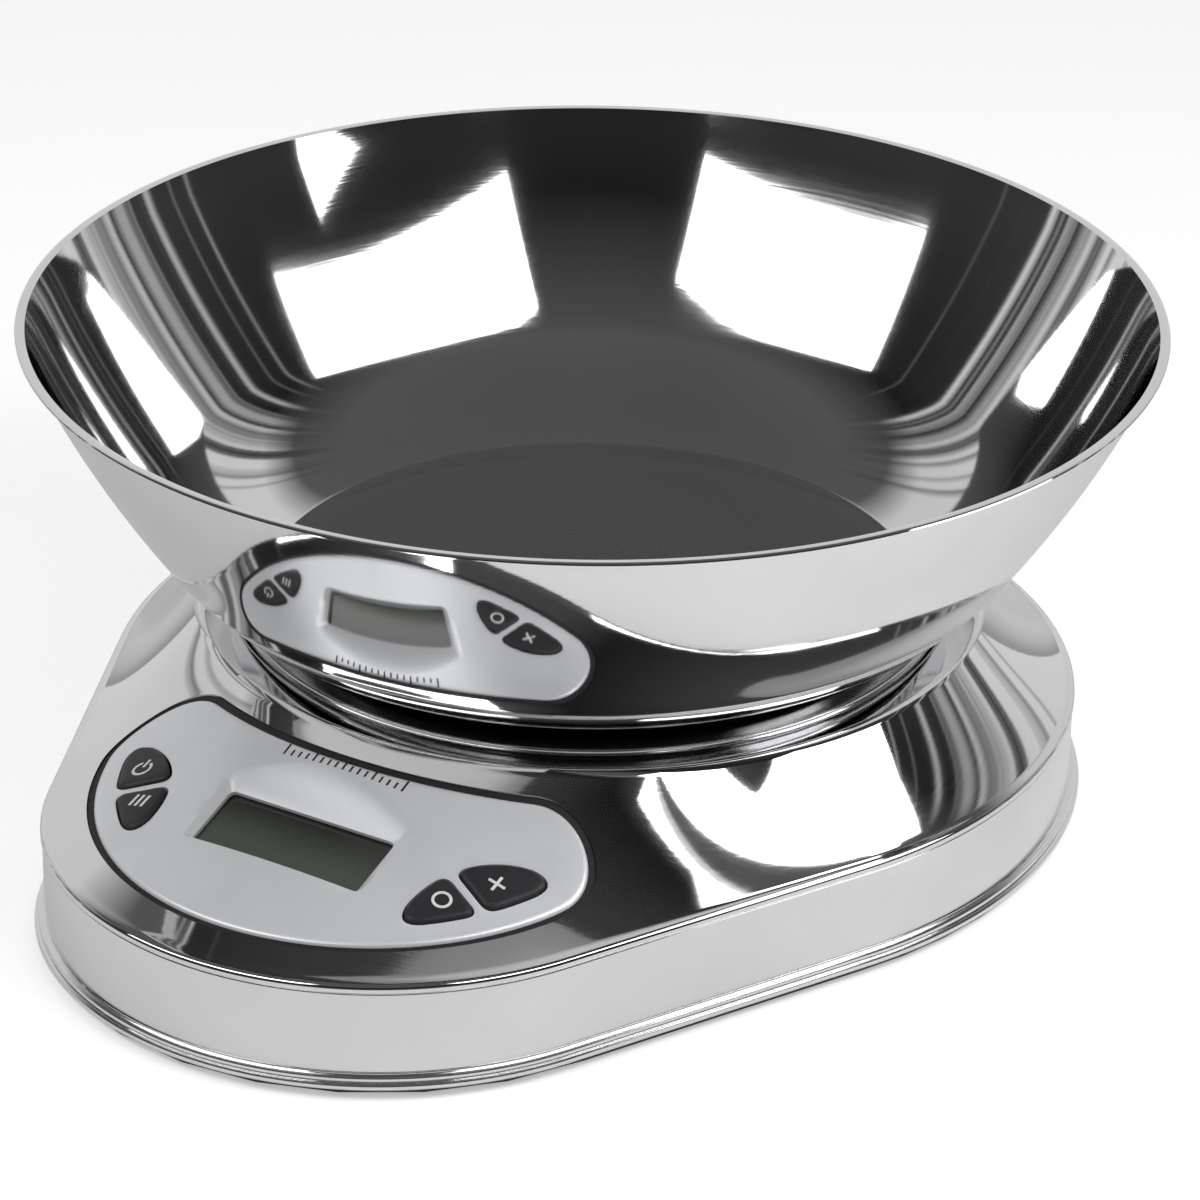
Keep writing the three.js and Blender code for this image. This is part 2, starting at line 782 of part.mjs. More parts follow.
function makeControlPanel() {
  const outline = prism(crescent(0), 0, 2 * housing.collarHeight);
  const skin = slopeLayer(fascia.proud, fascia.proud - fascia.thickness).intersect(outline);
  const wellFront = -display.windowHeight / 2 - 3;
  const wellRear = display.windowHeight / 2 + display.bevelTop;
  const wellBlock = placed(
    box(2 * wellReach, wellRear - wellFront, 4, 0, (wellRear + wellFront) / 2, -1),
  );
  const well = slopeLayer(fascia.proud, -9).intersect(outline).intersect(wellBlock);
  const window = placed(box(display.windowWidth, display.windowHeight, 12, 0, 0, -6));
  const pocket = placed(
    box(holderWidth + 2 * fitGap, holderHeight + 2 * fitGap, 12, 0, 0, lensZ + fitGap - 12),
  );
  const posts = boardScrewPlaces().map(([x, u]) =>
    placed(rod(board.postRadius, board.depth - fitGap - 1, x, u, boardTop + fitGap, 12)),
  );
  const pilots = boardScrewPlaces().map(([x, u]) =>
    placed(rod(board.pilotRadius, 5, x, u, boardTop, 10)),
  );
  const keyHoles = Object.values(keyOutlines).map((loop) =>
    fasciaPrism(grown(loop, keySize.clearance)),
  );
  const body = join(cut(join(skin, well), pocket), ...posts);
  return cut(body, placed(bevelWedge()), window, ...pilots, ...keyHoles);
}

// The sloping sides of the display recess, continued past the fascia's face.
function bevelWedge() {
  const far = 5 / display.bevelRise;
  const halfWidth = display.windowWidth / 2;
  const halfHeight = display.windowHeight / 2;
  const loops = [0, far].map((share) => {
    const top = halfHeight + share * display.bevelTop;
    const bottom = -halfHeight - share * display.bevelBottom;
    const topX = halfWidth + share * display.bevelSideTop;
    const bottomX = halfWidth + share * display.bevelSideBottom;
    const z = share * display.bevelRise;
    return [
      [-bottomX, bottom, z],
      [bottomX, bottom, z],
      [topX, top, z],
      [-topX, top, z],
    ];
  });
  const [low, high] = loops;
  const positions = [];
  const quad = (a, b, c, d) => positions.push(...a, ...b, ...c, ...a, ...c, ...d);
  quad(low[0], low[3], low[2], low[1]);
  quad(...high);
  for (let i = 0; i < 4; i++) {
    const k = (i + 1) % 4;
    quad(low[i], low[k], high[k], high[i]);
  }
  const geometry = new THREE.BufferGeometry();
  geometry.setAttribute("position", new THREE.Float32BufferAttribute(positions, 3));
  return toSolid(geometry);
}

function makePanelGasket() {
  const under = fascia.proud - fascia.thickness - fitGap;
  const high = 2 * housing.collarHeight;
  const ring = (outer, inner) =>
    prism(crescent(outer), 0, high).subtract(prism(crescent(inner), -1, high + 2));
  const frame = ring(fascia.groove + fascia.sealLap, -fascia.sealLap);
  const rib = ring(fascia.groove - fitGap, fitGap);
  return join(
    frame.intersect(slopeLayer(under, under - 1.2)),
    rib.intersect(slopeLayer(-fitGap, under - 0.6)),
  );
}

function boardScrewPlaces() {
  return [-1, 1].flatMap((sx) =>
    [-1, 1].map((su) => [sx * boardScrewX, su * boardScrewU]),
  );
}

function makeLcdWindow() {
  return box(
    display.windowWidth + 2 * display.ledge,
    display.windowHeight + 2 * display.ledge,
    display.lensThickness,
    0,
    0,
    lensZ - display.lensThickness,
  );
}

function makeLcdModule() {
  return box(lcdWidth, lcdHeight, display.cellThickness, 0, 0, cellFaceZ - display.cellThickness);
}

function makeLcdHolder() {
  const low = boardTop + fitGap;
  const height = cellFaceZ - low;
  const outer = box(holderWidth, holderHeight, height, 0, 0, low);
  const inner = box(lcdWidth + 2 * fitGap, lcdHeight + 2 * fitGap, height + 4, 0, 0, low - 2);
  return outer.subtract(inner);
}

function makeZebraStrip(side) {
  const low = boardTop + fitGap;
  const height = cellFaceZ - display.cellThickness - fitGap - low;
  return box(lcdWidth - 4, 2, height, 0, side * (lcdHeight / 2 - 1.4), low);
}

function makeMainBoard() {
  const plate = box(boardWidth, board.height, board.thickness, 0, 0, boardTop - board.thickness);
  const holes = boardScrewPlaces().map(([x, u]) => rod(1.4, 8, x, u, boardTop - 5, 10));
  return cut(plate, ...holes);
}

function makeControllerChip() {
  const { chipSize, chipHeight, chipX, chipU } = board;
  const z = boardTop - board.thickness - fitGap - chipHeight;
  return box(chipSize, chipSize, chipHeight, chipX, chipU, z);
}

const switchCan = 3.2;
const switchPlunger = 0.8;
const switchTop = boardTop + fitGap + switchCan + switchPlunger;

function makeKeySwitch() {
  const can = box(board.switchSize, board.switchSize, switchCan, 0, 0, 0);
  return can.add(rod(1.6, switchPlunger + 0.2, 0, 0, switchCan - 0.2, 12));
}

function makeKey(loop) {
  const cap = slopeLayer(keySize.proud, -5).intersect(fasciaPrism(loop));
  const flangeTop = fascia.proud - fascia.thickness - fitGap;
  const flange = slopeLayer(flangeTop, flangeTop - keySize.flangeThickness).intersect(
    fasciaPrism(grown(loop, keySize.flange)),
  );
  const trimmed = cap.intersect(slopeLayer(keySize.proud, flangeTop - 0.5 * keySize.flangeThickness));
  const centre = keyCentre(loop);
  const stemLow = switchTop + keySize.travel + fitGap;
  const stem = placed(rod(1.5, 4.5, centre.x, centre.y, stemLow, 12));
  const below = slopeLayer(flangeTop - 0.2, -14);
  return join(trimmed, flange, stem.intersect(below));
}

// ---------------------------------------------------------------- base and battery

const bayLength = battery.length + 2 * battery.endRoom;
const bayWidth = battery.pitch + 2 * battery.radius + 2;
const bayTop = plateTop + 2 * battery.radius + 1.9;
const bayRoofTop = bayTop + battery.roof;
const boardDrop = board.depth + board.thickness;
const boardRear = windowY + (board.height / 2) * Math.cos(tilt) + boardDrop * Math.sin(tilt);
const bayCentreY = boardRear + battery.boardGap + battery.wall + bayWidth / 2;
const bayRear = bayCentreY + bayWidth / 2 + battery.wall;
const doorMargin = 1.4;
const batteryZ = plateTop + 0.4 + battery.radius;
const headRecess = 1.6; // depth of the screw heads' recesses, with 0.2 mm below the plate
const contactX = bayLength / 2 - 0.9;
const contactThickness = 0.6;

const footPlaces = { rear_left: 137, rear_right: 43, front_left: -113, front_right: -67 };

function footPlace(name) {
  return reach(rad(footPlaces[name]), (x, y) => insetFromWall(x, y) - foot.inset);
}

function makeBaseCover() {
  const edge = prism(wallOutline(base.edgeInset), plateBottom, base.edge);
  const plate = prism(wallOutline(-housing.sheet - fitGap), plateBottom + 0.2, base.plate - 0.2);
  const bay = box(
    bayLength + 2 * battery.wall,
    bayWidth + 2 * battery.wall,
    bayRoofTop - plateTop + 0.5,
    0,
    bayCentreY,
    plateTop - 0.5,
  );
  const hollow = box(bayLength, bayWidth, bayTop, 0, bayCentreY, 0);
  const doorway = box(
    bayLength + 2 * doorMargin,
    bayWidth + 2 * doorMargin,
    plateBottom + battery.doorThickness + fitGap + 1,
    0,
    bayCentreY,
    -1,
  );
  const slots = [-1, 1].map((side) => {
    const y = bayCentreY + (side * battery.pitch) / 2;
    return box(8, 4, 1.6, bayLength / 2 + 2, y, battery.tabHeight - 0.8);
  });
  const fingerNotch = rod(6, 3, 0, bayCentreY - bayWidth / 2 - doorMargin, 0, 16);
  const screwHoles = baseScrewPlaces.flatMap((point) => [
    rod(base.screwRadius + fitGap, 10, point.x, point.y, -1, 12),
    rod(baseScrew.headRadius + fitGap, headRecess, point.x, point.y, plateBottom - 0.2, 14),
  ]);
  const cellHoles = [-1, 1].flatMap((side) => {
    const y = -cellScrewY + (side * loadCell.screwPitch) / 2;
    return [
      rod(loadCell.screwRadius + fitGap, 10, 0, y, -1, 12),
      rod(cellScrew.headRadius + fitGap, headRecess, 0, y, plateBottom - 0.2, 14),
    ];
  });
  const footSeats = Object.keys(footPlaces).map((name) => {
    const { x, y } = footPlace(name);
    const depth = foot.thickness - footProud + fitGap + 1;
    return rod(foot.radius + fitGap, depth, x, y, plateBottom - 1, 20);
  });
  return cut(
    join(edge, plate, bay),
    hollow,
    doorway,
    fingerNotch,
    ...slots,
    ...screwHoles,
    ...cellHoles,
    ...footSeats,
  );
}

function makeBatteryDoor() {
  const length = bayLength + 2 * (doorMargin - battery.doorGap);
  const width = bayWidth + 2 * (doorMargin - battery.doorGap);
  const panel = box(length, width, battery.doorThickness, 0, bayCentreY, plateBottom);
  const ribs = [-1, 0, 1].map((i) =>
    box(1.2, bayWidth - 8, 0.9, i * 14, bayCentreY, plateBottom + 1.6),
  );
  return join(panel, ...ribs);
}

function makeBattery() {
  const { endRadius, edgeRound, nubRadius, nubLength } = battery;
  const half = battery.length / 2;
  const profile = [
    [0, -half],
    [endRadius, -half],
    [battery.radius, edgeRound - half],
    [battery.radius, half - nubLength - edgeRound],
    [endRadius, half - nubLength],
    [nubRadius, half - nubLength],
    [nubRadius, half],
    [0, half],
  ];
  return toSolid(toGeometry(turned(profile, 20)).rotateY(Math.PI / 2));
}

// The bay's contacts and leads are modelled about the bay's middle, for the end at +X.
function contactPlate(width, y) {
  return box(contactThickness, width, 2 * battery.radius - 1.5, contactX, y, plateTop + 1);
}

function contactTab(y) {
  const length = battery.wall + 3;
  return box(length, 3, contactThickness, contactX + length / 2, y, battery.tabHeight - 0.3);
}

// Conical spring that presses on a cell's flat end.
function contactSpring(y) {
  const turns = 3;
  const steps = 21;
  const length = 2 * (battery.endRoom - 1.2 - battery.nubGap) - 0.4;
  const points = Array.from({ length: steps + 1 }, (_, i) => {
    const angle = (2 * Math.PI * turns * i) / steps;
    const radius = 3.6 - (1.4 * i) / steps;
    const x = contactX - (length * i) / steps;
    return [x, y + radius * Math.cos(angle), batteryZ + radius * Math.sin(angle)];
  });
  return tube(points, 0.35, 30, 6);
}

function makeNegativeContact() {
  const y = battery.pitch / 2;
  return join(contactPlate(9, y), contactSpring(y), contactTab(y));
}

function makePositiveContact() {
  const y = -battery.pitch / 2;
  return join(contactPlate(9, y), contactTab(y));
}

function makeBridgeContact() {
  const rightHand = join(contactPlate(battery.pitch + 9, 0), contactSpring(battery.pitch / 2));
  return toSolid(toGeometry(rightHand).rotateZ(Math.PI));
}

// Height of the board's underside at a place along Y.
function boardUnderside(y) {
  const up = (y - windowY - boardDrop * Math.sin(tilt)) / Math.cos(tilt);
  return windowZ + up * Math.sin(tilt) - boardDrop * Math.cos(tilt);
}

// From a contact's tab, along the bay's end in its own lane and up to the board's underside.
function makeBatteryLead(y, lane, inFromEdge) {
  const start = contactX + battery.wall + 3 + fitGap;
  const endY = boardRear - inFromEdge;
  const end = boardUnderside(endY) - 2 * fitGap;
  const z = battery.tabHeight;
  return tube(
    [
      [start, y, z],
      [start + 2.5, y, z],
      [start + lane, y - 2, z + 1],
      [start + lane, (y + endY - bayCentreY) / 2, (z + end) / 2],
      [start + lane, endY - bayCentreY, end - 2],
      [start + lane, endY - bayCentreY, end],
    ],
    0.7,
    14,
  );
}

function makeFoot() {
  return turned(
    [
      [0, 0],
      [foot.radius - foot.edgeRound, 0],
      [foot.radius, foot.edgeRound],
      [foot.radius, foot.thickness],
      [0, foot.thickness],
    ],
    20,
  );
}

// ---------------------------------------------------------------- materials

function finish(color, roughness, metalness) {
  return new THREE.MeshStandardMaterial({ color, roughness, metalness });
}

const polishedSteel = finish(0xc9cacb, 0.08, 1);
const blackPlastic = finish(0x151516, 0.5, 0);
const silverPlastic = finish(0xaeb0b4, 0.38, 0.35);
const keyRubber = finish(0x1b1c1e, 0.6, 0);
const sealRubber = finish(0x0f0f10, 0.7, 0);
const smokedWindow = finish(0x34352f, 0.12, 0);
const displayGlass = finish(0x6d7266, 0.25, 0);
const aluminium = finish(0xb9bcc0, 0.35, 1);
const zincSteel = finish(0x9a9ca0, 0.35, 1);
const boardGreen = finish(0x1f5a34, 0.5, 0);
const epoxyBlack = finish(0x101011, 0.3, 0);
const gaugeWhite = finish(0xe9e9e4, 0.5, 0);
const batterySkin = finish(0x2c4d74, 0.35, 0.2);
const nickelSteel = finish(0xc7c8c6, 0.25, 1);
const leadGrey = finish(0x55585c, 0.55, 0);
const leadRed = finish(0xa32222, 0.55, 0);
const leadBlack = finish(0x18181a, 0.55, 0);

// ---------------------------------------------------------------- assembly

function part(name, solid, material) {
  const mesh = new THREE.Mesh(toGeometry(solid), material);
  mesh.name = name;
  return mesh;
}

function at(mesh, x, y, z) {
  mesh.position.set(x, y, z);
  return mesh;
}

const scale = new THREE.Group();
const core = new THREE.Group();
core.position.y = axisY;
scale.add(core);

core.add(
  part("bowl", makeBowl(), polishedSteel),
  part("platform_dish", makePlatformDish(), polishedSteel),
  part("platform_carrier", makePlatformCarrier(), blackPlastic),
  part("upper_spacer", makeSpacer(cellScrewY, upperSpacerZ), zincSteel),
  part("lower_spacer", makeSpacer(-cellScrewY, lowerSpacerZ), zincSteel),
  part("load_cell", makeLoadCell(), aluminium),
  part("strain_gauge_coating", makeGaugeCoating(), gaugeWhite),
  part("load_cell_lead", makeLoadCellLead(), leadGrey),
  part("body_shell", makeBodyShell(), polishedSteel),
  part("shell_frame", makeShellFrame(), blackPlastic),
  part("control_panel", makeControlPanel(), silverPlastic),
  part("panel_gasket", makePanelGasket(), sealRubber),
  part("base_cover", makeBaseCover(), blackPlastic),
  part("battery_door", makeBatteryDoor(), blackPlastic),
);

const upperScrew = { ...cellScrew, length: 22, headHeight: 2.6 };
const upperHeadTop = carrierZ + carrier.headSeat + fitGap + upperScrew.headHeight;
const lowerHeadZ = plateBottom + 0.1;
const lowerScrewTip = cellZ + 0.7 * loadCell.section;
const lowerScrew = { ...cellScrew, length: lowerScrewTip - lowerHeadZ - 1, headHeight: 1 };
["rear", "front"].forEach((end, i) => {
  const offset = ((i === 0 ? 1 : -1) * loadCell.screwPitch) / 2;
  const upper = part(`platform_screw_${end}`, makeScrew(upperScrew, -1), zincSteel);
  core.add(at(upper, 0, cellScrewY + offset, upperHeadTop));
  const lower = part(`load_cell_screw_${end}`, makeScrew(lowerScrew), zincSteel);
  core.add(at(lower, 0, offset - cellScrewY, lowerHeadZ));
});

// Display stack and keys, square to the window's plane.
const stack = new THREE.Group();
stack.applyMatrix4(fasciaFrame);
core.add(stack);
stack.add(
  part("lcd_window", makeLcdWindow(), smokedWindow),
  part("lcd_module", makeLcdModule(), displayGlass),
  part("lcd_holder", makeLcdHolder(), blackPlastic),
  part("zebra_strip_front", makeZebraStrip(-1), gaugeWhite),
  part("zebra_strip_rear", makeZebraStrip(1), gaugeWhite),
  part("main_board", makeMainBoard(), boardGreen),
  part("controller_chip", makeControllerChip(), epoxyBlack),
);
for (const [name, loop] of Object.entries(keyOutlines)) {
  core.add(part(name, makeKey(loop), keyRubber));
  const centre = keyCentre(loop);
  const key = part(name.replace("key", "switch"), makeKeySwitch(), epoxyBlack);
  stack.add(at(key, centre.x, centre.y, boardTop + fitGap));
}
boardScrewPlaces().forEach(([x, u], i) => {
  const screw = part(`board_screw_${i + 1}`, makeScrew(boardScrew), zincSteel);
  stack.add(at(screw, x, u, boardTop - board.thickness - fitGap - boardScrew.headHeight));
});

// Two cells side by side, one each way round, and their contacts.
const bay = new THREE.Group();
bay.position.y = bayCentreY;
core.add(bay);
const cellShift = battery.endRoom - 1.2 - battery.nubGap;
const rearCell = part("battery_rear", makeBattery(), batterySkin);
rearCell.rotation.z = Math.PI;
const frontCell = part("battery_front", makeBattery(), batterySkin);
bay.add(
  at(rearCell, -cellShift, battery.pitch / 2, batteryZ),
  at(frontCell, cellShift, -battery.pitch / 2, batteryZ),
  part("battery_contact_negative", makeNegativeContact(), nickelSteel),
  part("battery_contact_positive", makePositiveContact(), nickelSteel),
  part("battery_contact_bridge", makeBridgeContact(), nickelSteel),
  part("battery_lead_black", makeBatteryLead(battery.pitch / 2, 8, 4), leadBlack),
  part("battery_lead_red", makeBatteryLead(-battery.pitch / 2, 5, 8), leadRed),
);

for (const [i, point] of baseScrewPlaces.entries()) {
  const screw = part(`base_screw_${i + 1}`, makeScrew(baseScrew), zincSteel);
  core.add(at(screw, point.x, point.y, lowerHeadZ));
}

for (const name of Object.keys(footPlaces)) {
  const { x, y } = footPlace(name);
  core.add(at(part(`foot_${name}`, makeFoot(), sealRubber), x, y, 0));
}

export default scale;
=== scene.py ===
import math

import bmesh
import bpy
import numpy as np
from mathutils import Matrix, Vector
from mathutils.geometry import delaunay_2d_cdt


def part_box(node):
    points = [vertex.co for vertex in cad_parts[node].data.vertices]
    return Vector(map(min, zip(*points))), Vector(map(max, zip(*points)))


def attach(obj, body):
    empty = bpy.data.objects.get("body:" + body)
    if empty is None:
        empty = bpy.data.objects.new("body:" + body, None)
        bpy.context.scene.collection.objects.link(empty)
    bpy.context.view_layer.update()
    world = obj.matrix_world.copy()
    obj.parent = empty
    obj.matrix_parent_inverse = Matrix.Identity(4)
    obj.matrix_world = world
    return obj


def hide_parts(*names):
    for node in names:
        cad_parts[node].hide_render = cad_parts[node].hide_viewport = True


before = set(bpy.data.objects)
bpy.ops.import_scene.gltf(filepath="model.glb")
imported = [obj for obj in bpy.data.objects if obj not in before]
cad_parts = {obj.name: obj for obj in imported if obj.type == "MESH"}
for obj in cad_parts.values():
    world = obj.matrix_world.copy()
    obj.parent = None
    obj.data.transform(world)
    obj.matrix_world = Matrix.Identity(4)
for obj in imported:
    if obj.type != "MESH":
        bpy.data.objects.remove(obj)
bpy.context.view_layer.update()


# ---------------------------------------------------------------- bowl
# A mixing bowl spun from 0.8 mm stainless sheet and mirror polished: a flat floor, a quick
# curve at the heel, a wall that is nearly a cone, and a narrow lip turned out round the rim.
# It only stands on the platform, so it lifts straight off.

MM = 0.001
bowl_low, bowl_high = (Vector(corner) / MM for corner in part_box("bowl"))
axis_y = (bowl_low.y + bowl_high.y) / 2
rim_radius = (bowl_high.x - bowl_low.x) / 2
bowl_wall = 0.8
floor_ring = 40.0
same_place = 1e-7
lip_width = 1.6
foot_radius = 68.6
heel_slope, bend_slope, rim_slope = (math.radians(a) for a in (20, 54, 66))


def node(tree, kind, inputs=None, **settings):
    made = tree.nodes.new(kind)
    for key, value in settings.items():
        setattr(made, key, value)
    for key, value in (inputs or {}).items():
        socket = made.inputs[key]
        if isinstance(value, bpy.types.NodeSocket):
            tree.links.new(value, socket)
        else:
            socket.default_value = value
    return made


def maths(tree, operation, *values):
    return node(tree, "ShaderNodeMath", dict(enumerate(values)), operation=operation).outputs[0]


def new_group(name, kind, inputs, outputs):
    tree = bpy.data.node_groups.new(name, kind)
    for label, socket_type, value in inputs:
        socket = tree.interface.new_socket(label, in_out="INPUT", socket_type=socket_type)
        if value is not None:
            socket.default_value = value
    for label, socket_type in outputs:
        tree.interface.new_socket(label, in_out="OUTPUT", socket_type=socket_type)
    start = tree.nodes.new("NodeGroupInput")
    end = tree.nodes.new("NodeGroupOutput")
    return tree, start.outputs, end.inputs


def baked(piece):
    """The piece with its modifiers worked into a plain mesh."""
    bpy.context.view_layer.update()
    source = piece.evaluated_get(bpy.context.evaluated_depsgraph_get())
    mesh = bpy.data.meshes.new_from_object(source)
    mesh.name = piece.name
    piece.modifiers.clear()
    piece.data = mesh
    return piece


def closed_and_smooth(piece, sharp_degrees=32, recalculate=True):
    mesh = bmesh.new()
    mesh.from_mesh(piece.data)
    bmesh.ops.remove_doubles(mesh, verts=mesh.verts, dist=same_place)
    if recalculate:
        bmesh.ops.recalc_face_normals(mesh, faces=mesh.faces)
    mesh.to_mesh(piece.data)
    mesh.free()
    piece.data.shade_smooth()
    piece.data.set_sharp_from_angle(angle=math.radians(sharp_degrees))
    return piece


def piece_from(name, vertices, faces, material):
    mesh = bpy.data.meshes.new(name)
    mesh.from_pydata([tuple(c * MM for c in v) for v in vertices], [], faces)
    mesh.materials.append(material)
    piece = bpy.data.objects.new(name, mesh)
    bpy.context.scene.collection.objects.link(piece)
    return piece


def turning_tree():
    """Turns a section about an upright axis: each row of a grid is one point of the section."""
    sizes = [("Section", "NodeSocketGeometry", None), ("Segments", "NodeSocketInt", 96)]
    sizes += [("Axis Y", "NodeSocketFloat", 0.0), ("Finish", "NodeSocketMaterial", None)]
    tree, start, end = new_group(
        "turned_section", "GeometryNodeTree", sizes, [("Geometry", "NodeSocketGeometry")]
    )
    tree.is_modifier = True
    count = node(tree, "GeometryNodeAttributeDomainSize", {"Geometry": start["Section"]}).outputs[0]
    columns = maths(tree, "ADD", start["Segments"], 1.0)
    grid = node(tree, "GeometryNodeMeshGrid", {"Vertices X": columns, "Vertices Y": count})
    index = node(tree, "GeometryNodeInputIndex").outputs[0]
    column = maths(tree, "FLOOR", maths(tree, "DIVIDE", maths(tree, "ADD", index, 0.5), count))
    row = maths(tree, "SUBTRACT", index, maths(tree, "MULTIPLY", column, count))
    position = node(tree, "GeometryNodeInputPosition").outputs[0]
    sampled = node(
        tree,
        "GeometryNodeSampleIndex",
        {"Geometry": start["Section"], "Index": row},
        data_type="FLOAT_VECTOR",
    )
    tree.links.new(position, sampled.inputs["Value"])
    split = node(tree, "ShaderNodeSeparateXYZ", {0: sampled.outputs[0]}).outputs
    turn = maths(tree, "MULTIPLY", maths(tree, "DIVIDE", column, start["Segments"]), 2 * math.pi)
    x = maths(tree, "MULTIPLY", split[0], maths(tree, "COSINE", turn))
    y = maths(tree, "MULTIPLY", split[0], maths(tree, "SINE", turn))
    y = maths(tree, "ADD", y, start["Axis Y"])
    place = node(tree, "ShaderNodeCombineXYZ", {0: x, 1: y, 2: split[2]}).outputs[0]
    moved = node(tree, "GeometryNodeSetPosition", {"Geometry": grid.outputs[0], "Position": place})
    merged = node(tree, "GeometryNodeMergeByDistance", {"Geometry": moved.outputs[0]})
    merged.inputs["Distance"].default_value = same_place
    whole = node(tree, "GeometryNodeRealizeInstances", {0: merged.outputs[0]})
    done = node(tree, "GeometryNodeSetMaterial", {0: whole.outputs[0], "Material": start["Finish"]})
    tree.links.new(done.outputs[0], end["Geometry"])
    return tree


turned_section = turning_tree()


def set_input(modifier, label, value):
    for item in modifier.node_group.interface.items_tree:
        if item.name == label and item.in_out == "INPUT":
            modifier[item.identifier] = value


def turned(name, section, segments, material, centre_y):
    mesh = bpy.data.meshes.new(name)
    points = [(r * MM, 0.0, z * MM) for r, z in section]
    mesh.from_pydata(points, [(i, i + 1) for i in range(len(points) - 1)], [])
    piece = bpy.data.objects.new(name, mesh)
    bpy.context.scene.collection.objects.link(piece)
    modifier = piece.modifiers.new("turned", "NODES")
    modifier.node_group = turned_section
    set_input(modifier, "Segments", segments)
    set_input(modifier, "Axis Y", centre_y * MM)
    set_input(modifier, "Finish", material)
    return closed_and_smooth(baked(piece))


def bend(radius, z, curve, start, end, steps):
    """An arc that climbs outwards, from one slope to another, each with its slope."""
    points = []
    for s in np.linspace(start, end, steps + 1):
        out = radius + curve * (math.sin(s) - math.sin(start))
        points.append((out, z + curve * (math.cos(start) - math.cos(s)), s))
    return points


def bowl_section():
    top = bowl_high.z - bowl_wall
    run = rim_radius - lip_width - foot_radius
    rise = top - bowl_low.z
    across = [math.sin(bend_slope) - math.sin(heel_slope), math.sin(rim_slope) - math.sin(bend_slope)]
    along = [math.cos(heel_slope) - math.cos(bend_slope), math.cos(bend_slope) - math.cos(rim_slope)]
    heel, wall = np.linalg.solve([across, along], [run, rise])
    climb = bend(foot_radius, bowl_low.z, heel, heel_slope, bend_slope, 22)
    climb += bend(climb[-1][0], climb[-1][1], wall, bend_slope, rim_slope, 22)[1:]
    outside = [(0.0, bowl_low.z), (floor_ring, bowl_low.z), (foot_radius - 1.2, bowl_low.z)]
    outside += [(r, z) for r, z, _ in climb]
    lip = [(rim_radius - 0.5, top - 0.02), (rim_radius - 0.12, top + 0.14), (rim_radius, top + 0.4)]
    lip += [(rim_radius - 0.12, top + 0.66), (rim_radius - 0.5, bowl_high.z)]
    lip += [(rim_radius - lip_width, bowl_high.z), (rim_radius - lip_width - 0.5, bowl_high.z - 0.08)]
    inside = [
        (r - bowl_wall * math.sin(s), z + bowl_wall * math.cos(s))
        for r, z, s in reversed(climb)
        if z < top - 0.9
    ]
    floor_z = bowl_low.z + bowl_wall
    floor = [(foot_radius - 1.4, floor_z + 0.02), (floor_ring, floor_z), (0.0, floor_z)]
    return outside + lip + inside + floor


def spun_marks_group():
    """Fine rings left by turning or polishing, and soft smudges over them."""
    sizes = [("Vector", "NodeSocketVector", None), ("Axis Y", "NodeSocketFloat", 0.0)]
    sizes += [("Ring Scale", "NodeSocketFloat", 900.0), ("Smudge Scale", "NodeSocketFloat", 18.0)]
    results = [("Rings", "NodeSocketFloat"), ("Smudges", "NodeSocketFloat")]
    tree, start, end = new_group("spun_marks", "ShaderNodeTree", sizes, results)
    split = node(tree, "ShaderNodeSeparateXYZ", {0: start["Vector"]}).outputs
    y = maths(tree, "SUBTRACT", split[1], start["Axis Y"])
    squares = maths(tree, "ADD", maths(tree, "POWER", split[0], 2.0), maths(tree, "POWER", y, 2.0))
    radius = maths(tree, "SQRT", squares)
    ring = node(
        tree,
        "ShaderNodeCombineXYZ",
        {
            0: maths(tree, "MULTIPLY", radius, start["Ring Scale"]),
            1: maths(tree, "MULTIPLY", split[2], start["Ring Scale"]),
            2: maths(tree, "MULTIPLY", maths(tree, "ARCTAN2", y, split[0]), 1.5),
        },
    ).outputs[0]
    rings = node(tree, "ShaderNodeTexNoise", {"Vector": ring, "Scale": 1.0, "Detail": 3.0})
    smudge = node(tree, "ShaderNodeTexNoise", {"Vector": start["Vector"], "Detail": 4.0})
    tree.links.new(start["Smudge Scale"], smudge.inputs["Scale"])
    soft = node(tree, "ShaderNodeMapRange", {0: smudge.outputs[0], 1: 0.45, 2: 0.75}).outputs[0]
    tree.links.new(rings.outputs[0], end["Rings"])
    tree.links.new(soft, end["Smudges"])
    return tree


spun_marks = spun_marks_group()


def new_material(name):
    material = bpy.data.materials.new(name)
    material.use_nodes = True
    tree = material.node_tree
    tree.nodes.clear()
    surface = tree.nodes.new("ShaderNodeBsdfPrincipled")
    output = tree.nodes.new("ShaderNodeOutputMaterial")
    tree.links.new(surface.outputs[0], output.inputs[0])
    coordinates = tree.nodes.new("ShaderNodeTexCoord").outputs["Object"]
    return material, tree, surface, coordinates


def mixed(tree, factor, first, second):
    mix = node(tree, "ShaderNodeMix", {0: factor}, data_type="RGBA")
    mix.inputs[6].default_value = (*first, 1)
    mix.inputs[7].default_value = (*second, 1)
    return mix.outputs[2]


def ranged(tree, value, low, high):
    return node(tree, "ShaderNodeMapRange", {0: value, 3: low, 4: high}).outputs[0]


def bumped(tree, surface, height, strength):
    deepest = 0.0002
    normal = node(tree, "ShaderNodeBump", {"Height": height, "Distance": deepest})
    normal.inputs["Strength"].default_value = strength
    tree.links.new(normal.outputs[0], surface.inputs["Normal"])


def marks_on(tree, place, ring_scale):
    sizes = {"Vector": place, "Axis Y": axis_y * MM, "Ring Scale": ring_scale}
    return node(tree, "ShaderNodeGroup", sizes, node_tree=spun_marks).outputs


